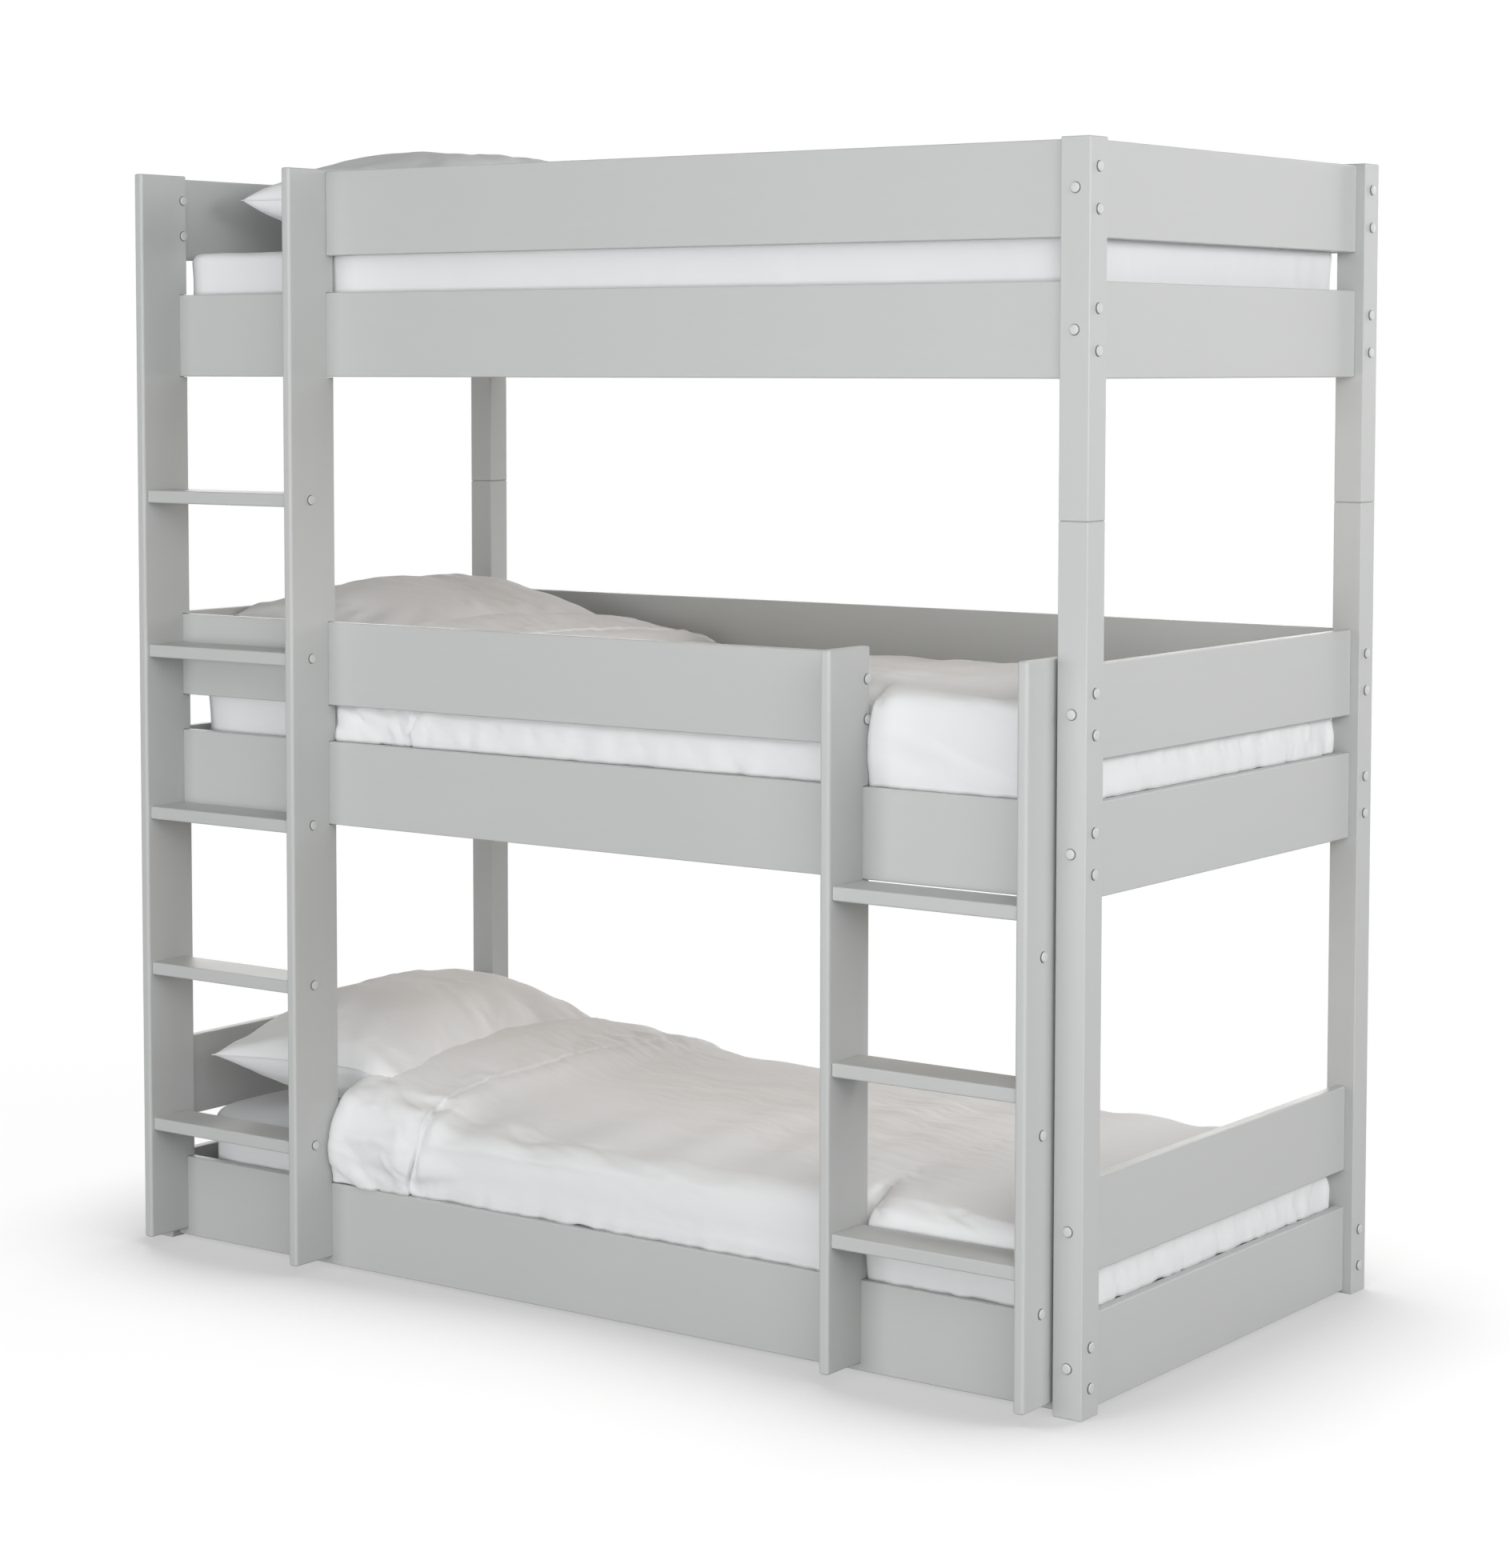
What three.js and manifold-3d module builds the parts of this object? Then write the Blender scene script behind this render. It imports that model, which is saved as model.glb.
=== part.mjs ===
// Three-level bunk bed: four two-part corner posts, boards on four sides, a full-height ladder
// at the head end, a short ladder at the foot end, slatted bases, mattresses and bedding.
// Millimetres. +Z is up, +X points to the foot end, -Y is the front with the ladders.
// The origin is on the floor, under the middle of the bed's outline.
import * as THREE from "three";
import { mergeVertices } from "three/addons/utils/BufferGeometryUtils.js";
import Module from "manifold-3d";

const wasm = await Module();
wasm.setup();

// Mattresses, which set the length and depth of the frame around them
const mattressLength = 1900;
const mattressWidth = 900;
const mattressThickness = 150;
const mattressEndClearance = 9.5;
const mattressSideClearance = 5.5;
const mattressAboveBoard = 80;
const mattressPlanRadius = 60;
const mattressEdgeRadius = 18;
const mattressCrown = 4;
const mattressSideDrawIn = 3;

// Frame: posts and boards
const postSide = 52;
const postTopReveal = 3;
const postJointHeight = 1380;
const postCornerRadius = 2;
const postEndEase = 1.5;
const boardThickness = 19;
const boardHeight = 148;
const boardCornerRadius = 2.5;
const boardEndEase = 1;
const boardFloorGap = 5;
const bunkPitch = 795;
const guardGap = 65;

// Dowels that carry the upper post halves on the lower ones
const dowelRadius = 6;
const dowelLength = 80;
const dowelEase = 1;
const boreRelief = 2;

// Ladders: notched stiles with treads between them
const ladderReach = 78;
const stileThickness = 19;
const stileNoseRadius = 5;
const stileHeelRadius = 2.5;
const stileEndEase = 2;
const stileFloorGap = 19;
const shortLadderReveal = 10;
const ladderClearWidth = 340;
const stilePostGap = 5;
const notchClearance = 1;
const treadThickness = 23;
const treadSetback = 8;
const treadCornerRadius = 3;
const treadEndEase = 1;

// Tops of the treads, as shares of the height of the rail that each ladder leads to
const tallTreadShares = [0.1377, 0.3029, 0.467, 0.6368, 0.7975];
const shortTreadShares = [0.2584, 0.5475, 0.8428];

// Slatted bases
const slatCount = 14;
const slatWidth = 70;
const slatThickness = 16;
const battenThickness = 28;
const battenHeight = 35;

// Pillows
const pillowSideMargin = 85;
const pillowWidth = 440;
const pillowThickness = 200;
const pillowSideDrawIn = 28;

// Each pillow's gap to the head board as a share of its width, its place across as a share of the
// side margin, and how deep it is pressed in as a share of its thickness
const pillowShares = [
  { level: "top", headGap: 0.16, offCentre: 0.18, pressed: 0.03, turnDegrees: 2, leanDegrees: 0 },
  { level: "middle", headGap: 0.045, offCentre: 0.58, pressed: 0.15, turnDegrees: -3, leanDegrees: 13 },
  { level: "bottom", headGap: 0.105, offCentre: -0.82, pressed: 0.005, turnDegrees: 7, leanDegrees: 0 },
];

// Duvets
const duvetSideClearance = 1.5;
const duvetHemClearance = 1;
const duvetHeadEdgeFromHead = 381.5;
const duvetTurnbackWidth = 222;
const duvetTurnbackRise = 16;
const duvetTurnbackBlend = 18;
const duvetTurnbackFade = 44;
const duvetTurnbackFalls = { middle: 8, bottom: 40 };
const duvetEndRoll = 110;
const duvetPlanRadius = 62;
const duvetFoldWave = 5;
const duvetFoldPitch = 170;
const duvetHeadLofts = { middle: 109, bottom: 122 };
const duvetBodyLofts = { middle: 73, bottom: 76 };
const duvetFootLofts = { middle: 64, bottom: 67 };
const duvetHeadHold = 100;
const duvetLoftFade = 190;
const duvetHemBulge = 18;
const duvetBandBulge = 22;
const duvetBulgeRun = 60;

// Fits and overruns
const seatGap = 0.3;
const softGap = 1;
const cutOverrun = 20;

// Shares of the sizes above, and counts of steps
const cornerSteps = 2;
const edgeSteps = 2;
const dowelSides = 12;
const pillowSteps = 10;
const pillowRings = 6;
const pillowRoundnessShare = 2.8;
const pillowPuffShare = 0.47;
const duvetBoxinessShare = 5;
const duvetBandBoxinessShare = 4;
const duvetBulgeBoxinessShare = 8;
const duvetTuckShare = 0.6;
const duvetBellyShare = 0.5;
const duvetStations = 28;
const duvetSectionSteps = 22;
const mattressRingSteps = 6;
const mattressCrownRings = 2;
const slatEndGapShare = 0.5;
const rearLoftShare = 0.89;
const halfTurnDegrees = 180;
const coordinateCount = 3;

// Places worked out from the sizes, measured from the outline's centre and the floor
const boardInset = (postSide - boardThickness) / 2;
const frameLength = mattressLength + 2 * (mattressEndClearance + boardThickness + boardInset);
const frameDepth = mattressWidth + 2 * (mattressSideClearance + boardThickness + boardInset);
const outlineDepth = ladderReach + frameDepth;
const frontPostFace = ladderReach - outlineDepth / 2;
const rearPostFace = outlineDepth / 2;
const footPostFace = frameLength / 2;
const headPostFace = -frameLength / 2;
const frontBoardFace = frontPostFace + boardInset;
const frontBoardBack = frontBoardFace + boardThickness;
const rearBoardBack = rearPostFace - boardInset - boardThickness;
const headBoardBack = headPostFace + boardInset + boardThickness;
const footBoardBack = footPostFace - boardInset - boardThickness;
const innerLength = footBoardBack - headBoardBack;
const innerDepth = rearBoardBack - frontBoardBack;
const innerMiddleY = (frontBoardBack + rearBoardBack) / 2;
const stileFront = frontPostFace - ladderReach;
const stileDepth = frontBoardBack - stileFront;
const levels = ["bottom", "middle", "top"];
const railUnderside = Object.fromEntries(
  levels.map((level, index) => [level, boardFloorGap + index * bunkPitch]),
);
const guardUnderside = Object.fromEntries(
  levels.map((level) => [level, railUnderside[level] + boardHeight + guardGap]),
);
const mattressTop = Object.fromEntries(
  levels.map((level) => [level, railUnderside[level] + boardHeight + mattressAboveBoard]),
);
const postHeight = guardUnderside.top + boardHeight + postTopReveal;
const shortLadderTop = guardUnderside.middle + boardHeight + shortLadderReveal;

const bed = new THREE.Group();
bed.name = "triple_bunk_bed";

// Materials
const paintColour = 0xc3c6c4;
const paint = () => new THREE.MeshStandardMaterial({ color: paintColour, roughness: 0.5, metalness: 0 });
const timber = () => new THREE.MeshStandardMaterial({ color: 0xd9bf94, roughness: 0.7, metalness: 0 });
const sheet = () => new THREE.MeshStandardMaterial({ color: 0xe8eaee, roughness: 0.9, metalness: 0 });
const cotton = () => new THREE.MeshStandardMaterial({ color: 0xe2dfdd, roughness: 0.9, metalness: 0 });

function addPiece(name, geometry, material) {
  const mesh = new THREE.Mesh(geometry, material);
  mesh.name = name;
  bed.add(mesh);
  return mesh;
}

// Solids from geometries, for cutting one piece by another
function toSolid(geometry) {
  const bare = geometry.clone();
  bare.deleteAttribute("normal");
  bare.deleteAttribute("uv");
  const merged = mergeVertices(bare);
  return new wasm.Manifold(
    new wasm.Mesh({
      numProp: coordinateCount,
      vertProperties: new Float32Array(merged.attributes.position.array),
      triVerts: new Uint32Array(merged.index.array),
    }),
  );
}

function toGeometry(solid) {
  const mesh = solid.getMesh();
  const geometry = new THREE.BufferGeometry();
  const stride = mesh.numProp;
  const points = [];
  for (let vertex = 0; vertex < mesh.vertProperties.length / stride; vertex += 1) {
    const start = vertex * stride;
    points.push(...mesh.vertProperties.slice(start, start + coordinateCount));
  }
  geometry.setAttribute("position", new THREE.Float32BufferAttribute(points, coordinateCount));
  geometry.setIndex([...mesh.triVerts]);
  geometry.computeVertexNormals();
  return geometry;
}

function cut(geometry, ...tools) {
  let solid = toSolid(geometry);
  for (const tool of tools) {
    solid = solid.subtract(toSolid(tool));
  }
  return toGeometry(solid);
}

function join(...geometries) {
  const [first, ...others] = geometries.map(toSolid);
  return toGeometry(others.reduce((whole, solid) => whole.add(solid), first));
}

// A rectangle from the origin, with one radius on its two near corners and one on its far ones
function easedRectangle(width, height, nearRadius, farRadius) {
  const shape = new THREE.Shape();
  const quarter = Math.PI / 2;
  shape.moveTo(nearRadius, 0);
  shape.lineTo(width - nearRadius, 0);
  shape.absarc(width - nearRadius, nearRadius, nearRadius, -quarter, 0);
  shape.lineTo(width, height - farRadius);
  shape.absarc(width - farRadius, height - farRadius, farRadius, 0, quarter);
  shape.lineTo(farRadius, height);
  shape.absarc(farRadius, height - farRadius, farRadius, quarter, 2 * quarter);
  shape.lineTo(0, nearRadius);
  shape.absarc(nearRadius, nearRadius, nearRadius, 2 * quarter, 3 * quarter);
  return shape;
}

// A bar of that section along +Z, its end edges eased
function bar(section, length, endEase) {
  const geometry = new THREE.ExtrudeGeometry(section, {
    depth: length - 2 * endEase,
    curveSegments: cornerSteps,
    bevelEnabled: true,
    bevelThickness: endEase,
    bevelSize: endEase,
    bevelOffset: -endEase,
    bevelSegments: 1,
  });
  return geometry.translate(0, 0, endEase);
}

const xAxis = new THREE.Vector3(1, 0, 0);
const yAxis = new THREE.Vector3(0, 1, 0);
const zAxis = new THREE.Vector3(0, 0, 1);

// Turns a bar so that it runs along X (its section in Y and Z) or along Y (its section in Z and X)
function layAlongX(geometry) {
  return geometry.applyMatrix4(new THREE.Matrix4().makeBasis(yAxis, zAxis, xAxis));
}

function layAlongY(geometry) {
  return geometry.applyMatrix4(new THREE.Matrix4().makeBasis(zAxis, xAxis, yAxis));
}

function boxBetween(low, high) {
  const size = high.map((value, axis) => value - low[axis]);
  const middle = high.map((value, axis) => (value + low[axis]) / 2);
  return new THREE.BoxGeometry(...size).translate(...middle);
}

// Corner posts: two halves each, bored for the dowel between them
function postHalf(height, boreStart, boreEnd) {
  const section = easedRectangle(postSide, postSide, postCornerRadius, postCornerRadius);
  const blank = bar(section, height, postEndEase);
  const boreRadius = dowelRadius + seatGap;
  const bore = new THREE.CylinderGeometry(boreRadius, boreRadius, boreEnd - boreStart, dowelSides);
  bore.rotateX(Math.PI / 2);
  bore.translate(postSide / 2, postSide / 2, (boreStart + boreEnd) / 2);
  return cut(blank, bore);
}

function postDowel() {
  const half = dowelLength / 2;
  const profile = [
    new THREE.Vector2(0, -half),
    new THREE.Vector2(dowelRadius - dowelEase, -half),
    new THREE.Vector2(dowelRadius, dowelEase - half),
    new THREE.Vector2(dowelRadius, half - dowelEase),
    new THREE.Vector2(dowelRadius - dowelEase, half),
    new THREE.Vector2(0, half),
  ];
  return new THREE.LatheGeometry(profile, dowelSides).rotateX(Math.PI / 2);
}

const corners = [
  { name: "front_head", x: headPostFace, y: frontPostFace },
  { name: "front_foot", x: footPostFace - postSide, y: frontPostFace },
  { name: "rear_head", x: headPostFace, y: rearPostFace - postSide },
  { name: "rear_foot", x: footPostFace - postSide, y: rearPostFace - postSide },
];
const lowerPostTop = postJointHeight - seatGap / 2;
const upperPostFoot = postJointHeight + seatGap / 2;
const upperPostHeight = postHeight - upperPostFoot;
const boreDepth = dowelLength / 2 + boreRelief;
for (const corner of corners) {
  const lower = postHalf(lowerPostTop, lowerPostTop - boreDepth, lowerPostTop + cutOverrun);
  const upper = postHalf(upperPostHeight, -cutOverrun, boreDepth);
  const dowel = addPiece(`post_dowel_${corner.name}`, postDowel(), timber());
  dowel.position.set(corner.x + postSide / 2, corner.y + postSide / 2, postJointHeight);
  addPiece(`post_${corner.name}_lower`, lower, paint()).position.set(corner.x, corner.y, 0);
  addPiece(`post_${corner.name}_upper`, upper, paint()).position.set(corner.x, corner.y, upperPostFoot);
}

// Boards: rails and guards between the posts or a stile
function boardSection() {
  return easedRectangle(boardThickness, boardHeight, boardCornerRadius, boardCornerRadius);
}

function longBoard(name, startX, endX, y, underside) {
  const length = endX - startX - 2 * seatGap;
  const board = addPiece(name, layAlongX(bar(boardSection(), length, boardEndEase)), paint());
  board.position.set(startX + seatGap, y, underside);
}

function crossBoard(name, x, underside) {
  const length = frameDepth - 2 * postSide - 2 * seatGap;
  const section = easedRectangle(boardHeight, boardThickness, boardCornerRadius, boardCornerRadius);
  const board = addPiece(name, layAlongY(bar(section, length, boardEndEase)), paint());
  board.position.set(x, frontPostFace + postSide + seatGap, underside);
}

// Where the stiles stand along X
const tallHeadStile = headPostFace + postSide + stilePostGap;
const tallFootStile = tallHeadStile + stileThickness + ladderClearWidth;
const shortFootStile = footPostFace - postSide - stilePostGap - stileThickness;
const shortHeadStile = shortFootStile - ladderClearWidth - stileThickness;
const headPostInner = headPostFace + postSide;
const footPostInner = footPostFace - postSide;

for (const level of levels) {
  longBoard(`rail_front_${level}`, headPostInner, footPostInner, frontBoardFace, railUnderside[level]);
  longBoard(`rail_rear_${level}`, headPostInner, footPostInner, rearBoardBack, railUnderside[level]);
  for (const end of [
    { name: "head", x: headPostFace + boardInset },
    { name: "foot", x: footBoardBack },
  ]) {
    crossBoard(`rail_${end.name}_${level}`, end.x, railUnderside[level]);
    crossBoard(`guard_${end.name}_${level}`, end.x, guardUnderside[level]);
  }
}
for (const level of ["middle", "top"]) {
  longBoard(`guard_rear_${level}`, headPostInner, footPostInner, rearBoardBack, guardUnderside[level]);
}
const tallFootStileOuter = tallFootStile + stileThickness;
longBoard("guard_front_middle", headPostInner, shortHeadStile, frontBoardFace, guardUnderside.middle);
longBoard("guard_front_top", tallFootStileOuter, footPostInner, frontBoardFace, guardUnderside.top);

// Ladders: stiles let in over the boards that they pass, treads between them
function stile(name, x, top, boardUndersides) {
  const section = easedRectangle(stileThickness, stileDepth, stileNoseRadius, stileHeelRadius);
  const blank = bar(section, top - stileFloorGap, stileEndEase).translate(0, 0, stileFloorGap);
  const notchFace = frontBoardFace - stileFront - seatGap;
  const notches = boardUndersides.map((underside) =>
    boxBetween(
      [-cutOverrun, notchFace, underside - notchClearance],
      [stileThickness + cutOverrun, stileDepth + cutOverrun, underside + boardHeight + notchClearance],
    ),
  );
  addPiece(name, cut(blank, ...notches), paint()).position.set(x, stileFront, 0);
}

function tread(name, x, top) {
  const depth = frontBoardFace - seatGap - stileFront - treadSetback;
  const section = easedRectangle(depth, treadThickness, treadCornerRadius, treadCornerRadius);
  const length = ladderClearWidth - 2 * seatGap;
  const step = addPiece(name, layAlongX(bar(section, length, treadEndEase)), paint());
  step.position.set(x + seatGap, stileFront + treadSetback, top - treadThickness);
}

const allRails = levels.map((level) => railUnderside[level]);
const lowRails = [railUnderside.bottom, railUnderside.middle];
const passedByTall = [...allRails, guardUnderside.middle];
stile("tall_ladder_stile_head_side", tallHeadStile, postHeight, passedByTall);
stile("tall_ladder_stile_foot_side", tallFootStile, postHeight, passedByTall);
stile("short_ladder_stile_head_side", shortHeadStile, shortLadderTop, lowRails);
stile("short_ladder_stile_foot_side", shortFootStile, shortLadderTop, lowRails);
tallTreadShares.forEach((share, index) => {
  const top = share * (railUnderside.top + boardHeight);
  tread(`tall_ladder_tread_${index + 1}`, tallHeadStile + stileThickness, top);
});
shortTreadShares.forEach((share, index) => {
  const top = share * (railUnderside.middle + boardHeight);
  tread(`short_ladder_tread_${index + 1}`, shortHeadStile + stileThickness, top);
});

// Slatted bases: two battens against the long rails, with slats across them
function slatBase() {
  const length = innerLength - 2 * seatGap;
  const depth = innerDepth - 2 * seatGap;
  const battens = [0, depth - battenThickness].map((y) =>
    boxBetween([0, y, -slatThickness - battenHeight], [length, y + battenThickness, -slatThickness]),
  );
  const slatLength = footPostInner - headPostInner - 2 * seatGap;
  const freeLength = slatLength - slatCount * slatWidth;
  const slatGap = freeLength / (slatCount - 1 + 2 * slatEndGapShare);
  const firstSlat = (length - slatLength) / 2 + slatGap * slatEndGapShare;
  const slats = [];
  for (let index = 0; index < slatCount; index += 1) {
    const x = firstSlat + index * (slatWidth + slatGap);
    slats.push(boxBetween([x, 0, -slatThickness], [x + slatWidth, depth, 0]));
  }
  const postNotchDepth = postSide - boardInset - boardThickness + seatGap;
  const postNotches = [0, length].flatMap((x) =>
    [0, depth].map((y) =>
      boxBetween(
        [x - postNotchDepth, y - postNotchDepth, -slatThickness - battenHeight - cutOverrun],
        [x + postNotchDepth, y + postNotchDepth, cutOverrun],
      ),
    ),
  );
  return cut(join(...battens, ...slats), ...postNotches);
}

for (const level of levels) {
  const base = addPiece(`slat_base_${level}`, slatBase(), timber());
  const top = mattressTop[level] - mattressThickness - seatGap;
  base.position.set(headBoardBack + seatGap, frontBoardBack + seatGap, top);
}

// A closed skin over rings of points, each end closed by a fan to one point
function skinOver(rings, firstPoint, lastPoint) {
  const count = rings[0].length;
  const points = [firstPoint, ...rings.flat(), lastPoint];
  const last = points.length - 1;
  const faces = [];
  for (let step = 0; step < count; step += 1) {
    const next = (step + 1) % count;
    faces.push(0, 1 + next, 1 + step);
    for (let ring = 0; ring < rings.length - 1; ring += 1) {
      const low = 1 + ring * count;
      const high = low + count;
      faces.push(low + step, low + next, high + next);
      faces.push(low + step, high + next, high + step);
    }
    const rim = 1 + (rings.length - 1) * count;
    faces.push(rim + step, rim + next, last);
  }
  const geometry = new THREE.BufferGeometry();
  geometry.setAttribute("position", new THREE.Float32BufferAttribute(points.flat(), coordinateCount));
  geometry.setIndex(faces);
  geometry.computeVertexNormals();
  return geometry;
}

// Mattress: round plan corners, rolled edges, drawn-in sides and a slight crown
function roundedPlan(halfLength, halfWidth, radius, z) {
  const points = [];
  const quarter = Math.PI / 2;
  const signs = [[1, -1], [1, 1], [-1, 1], [-1, -1]];
  signs.forEach(([signX, signY], corner) => {
    for (let step = 0; step <= mattressRingSteps; step += 1) {
      const angle = (corner - 1 + step / mattressRingSteps) * quarter;
      const x = signX * (halfLength - radius) + radius * Math.cos(angle);
      const y = signY * (halfWidth - radius) + radius * Math.sin(angle);
      points.push([x, y, z]);
    }
  });
  return points;
}

function mattressForm(grow) {
  const halfLength = mattressLength / 2 + grow;
  const halfWidth = mattressWidth / 2 + grow;
  const radius = mattressPlanRadius + grow;
  const edge = mattressEdgeRadius;
  const bottom = -mattressThickness - grow;
  const ring = (inset, z) => roundedPlan(halfLength - inset, halfWidth - inset, radius - inset, z);
  const rings = [];
  for (let step = 0; step <= edgeSteps; step += 1) {
    const angle = (step / edgeSteps) * (Math.PI / 2);
    rings.push(ring(edge * (1 - Math.sin(angle)), bottom + edge * (1 - Math.cos(angle))));
  }
  rings.push(ring(mattressSideDrawIn, (bottom + grow) / 2));
  for (let step = edgeSteps; step >= 0; step -= 1) {
    const angle = (step / edgeSteps) * (Math.PI / 2);
    const z = grow - mattressCrown - edge * (1 - Math.cos(angle));
    rings.push(ring(edge * (1 - Math.sin(angle)), z));
  }
  for (let step = 1; step <= mattressCrownRings; step += 1) {
    const share = step / (mattressCrownRings + 1);
    const inset = edge + share * (radius - edge);
    rings.push(ring(inset, grow - mattressCrown * (1 - share)));
  }
  return skinOver(rings, [0, 0, bottom], [0, 0, grow]);
}

const mattressMiddleX = (headBoardBack + footBoardBack) / 2;
for (const level of levels) {
  const mattress = addPiece(`mattress_${level}`, mattressForm(0), sheet());
  mattress.position.set(mattressMiddleX, innerMiddleY, mattressTop[level]);
}

// Pillow: plump crown above and below, sides drawn in between four pointed corners
const pillowLength = mattressWidth - 2 * pillowSideMargin;
function pillowForm(grow) {
  const halfWidth = pillowWidth / 2 + grow;
  const halfLength = pillowLength / 2 + grow;
  const halfThickness = pillowThickness / 2 + grow;
  const drawInX = pillowSideDrawIn / halfWidth;
  const drawInY = pillowSideDrawIn / halfLength;
  const puff = (share) => (1 - Math.abs(share) ** pillowRoundnessShare) ** pillowPuffShare;
  const place = (s, t, side) => {
    const x = halfWidth * s * (1 - drawInX * (1 - t * t));
    const y = halfLength * t * (1 - drawInY * (1 - s * s));
    return [x, y, side * halfThickness * puff(s) * puff(t)];
  };
  // Rings run round the square of s and t, from the lower middle out to the seam and back
  const squareEdges = [
    (along, reach) => [along, -reach],
    (along, reach) => [reach, along],
    (along, reach) => [-along, reach],
    (along, reach) => [-reach, -along],
  ];
  const squareRing = (reach, side) => {
    const points = [];
    for (const edge of squareEdges) {
      for (let step = 0; step < pillowSteps; step += 1) {
        const along = Math.sin(((2 * step) / pillowSteps - 1) * (Math.PI / 2)) * reach;
        points.push(place(...edge(along, reach), side));
      }
    }
    return points;
  };
  const rings = [];
  for (let step = 1; step < pillowRings; step += 1) {
    rings.push(squareRing(Math.sin((step / pillowRings) * (Math.PI / 2)), -1));
  }
  rings.push(squareRing(1, 1));
  for (let step = pillowRings - 1; step > 0; step -= 1) {
    rings.push(squareRing(Math.sin((step / pillowRings) * (Math.PI / 2)), 1));
  }
  return skinOver(rings, [0, 0, -halfThickness], [0, 0, halfThickness]);
}

// A pillow pressed into place on its mattress, clear of it by the soft gap
function placedPillow(place, grow) {
  const form = pillowForm(grow);
  form.rotateY((place.leanDegrees / halfTurnDegrees) * Math.PI);
  form.rotateZ((place.turnDegrees / halfTurnDegrees) * Math.PI);
  const x = headBoardBack + (place.headGap + 1 / 2) * pillowWidth;
  const y = innerMiddleY + place.offCentre * pillowSideMargin;
  const z = mattressTop[place.level] + softGap + (1 / 2 - place.pressed) * pillowThickness;
  return form.translate(x, y, z);
}

function mattressTool(level) {
  return mattressForm(softGap).translate(mattressMiddleX, innerMiddleY, mattressTop[level]);
}

for (const place of pillowShares) {
  const pressed = cut(placedPillow(place, 0), mattressTool(place.level));
  addPiece(`pillow_${place.level}`, pressed, cotton());
}

// Duvet: a full, soft-edged cover over the mattress and the pillow's foot side. Its head edge is
// turned back in a band, its sides and foot end hang to the boards' top edges.
function duvetLoft(level, fromHead, length) {
  const held = Math.max(fromHead - duvetHeadHold, 0);
  const eased = THREE.MathUtils.smoothstep(held, 0, duvetLoftFade);
  const body = duvetHeadLofts[level] + (duvetBodyLofts[level] - duvetHeadLofts[level]) * eased;
  const foot = duvetFootLofts[level] - duvetBodyLofts[level];
  const fadeEnd = duvetHeadHold + duvetLoftFade;
  const rest = Math.max(fromHead - fadeEnd, 0) / (length - fadeEnd);
  const band = (duvetTurnbackWidth - fromHead) / duvetTurnbackBlend;
  const bandShare = THREE.MathUtils.clamp(band, 0, 1);
  const wave = Math.sin((fromHead / duvetFoldPitch) * 2 * Math.PI) * duvetFoldWave * eased;
  return body + foot * rest + wave + duvetTurnbackRise * bandShare;
}

// The height of a rounded end at a share of its run: steep at first, then level
function roundedRise(share, boxiness) {
  return (1 - (1 - THREE.MathUtils.clamp(share, 0, 1)) ** boxiness) ** (1 / boxiness);
}

// The sides swell out over the rail wherever no stile, guard or post stands behind them
function swellingAt(x, openings) {
  const swellings = openings.map(([start, end]) => {
    return roundedRise(Math.min(x - start, end - x) / duvetBulgeRun, duvetBulgeBoxinessShare);
  });
  return Math.max(0, ...swellings);
}

// A side's swelling from the hem, where it is tucked in, up to its belly
function bellyAt(up) {
  const below = 1 - Math.min(up / duvetBellyShare, 1);
  return 1 - (1 - duvetTuckShare) * below * below;
}

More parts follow.
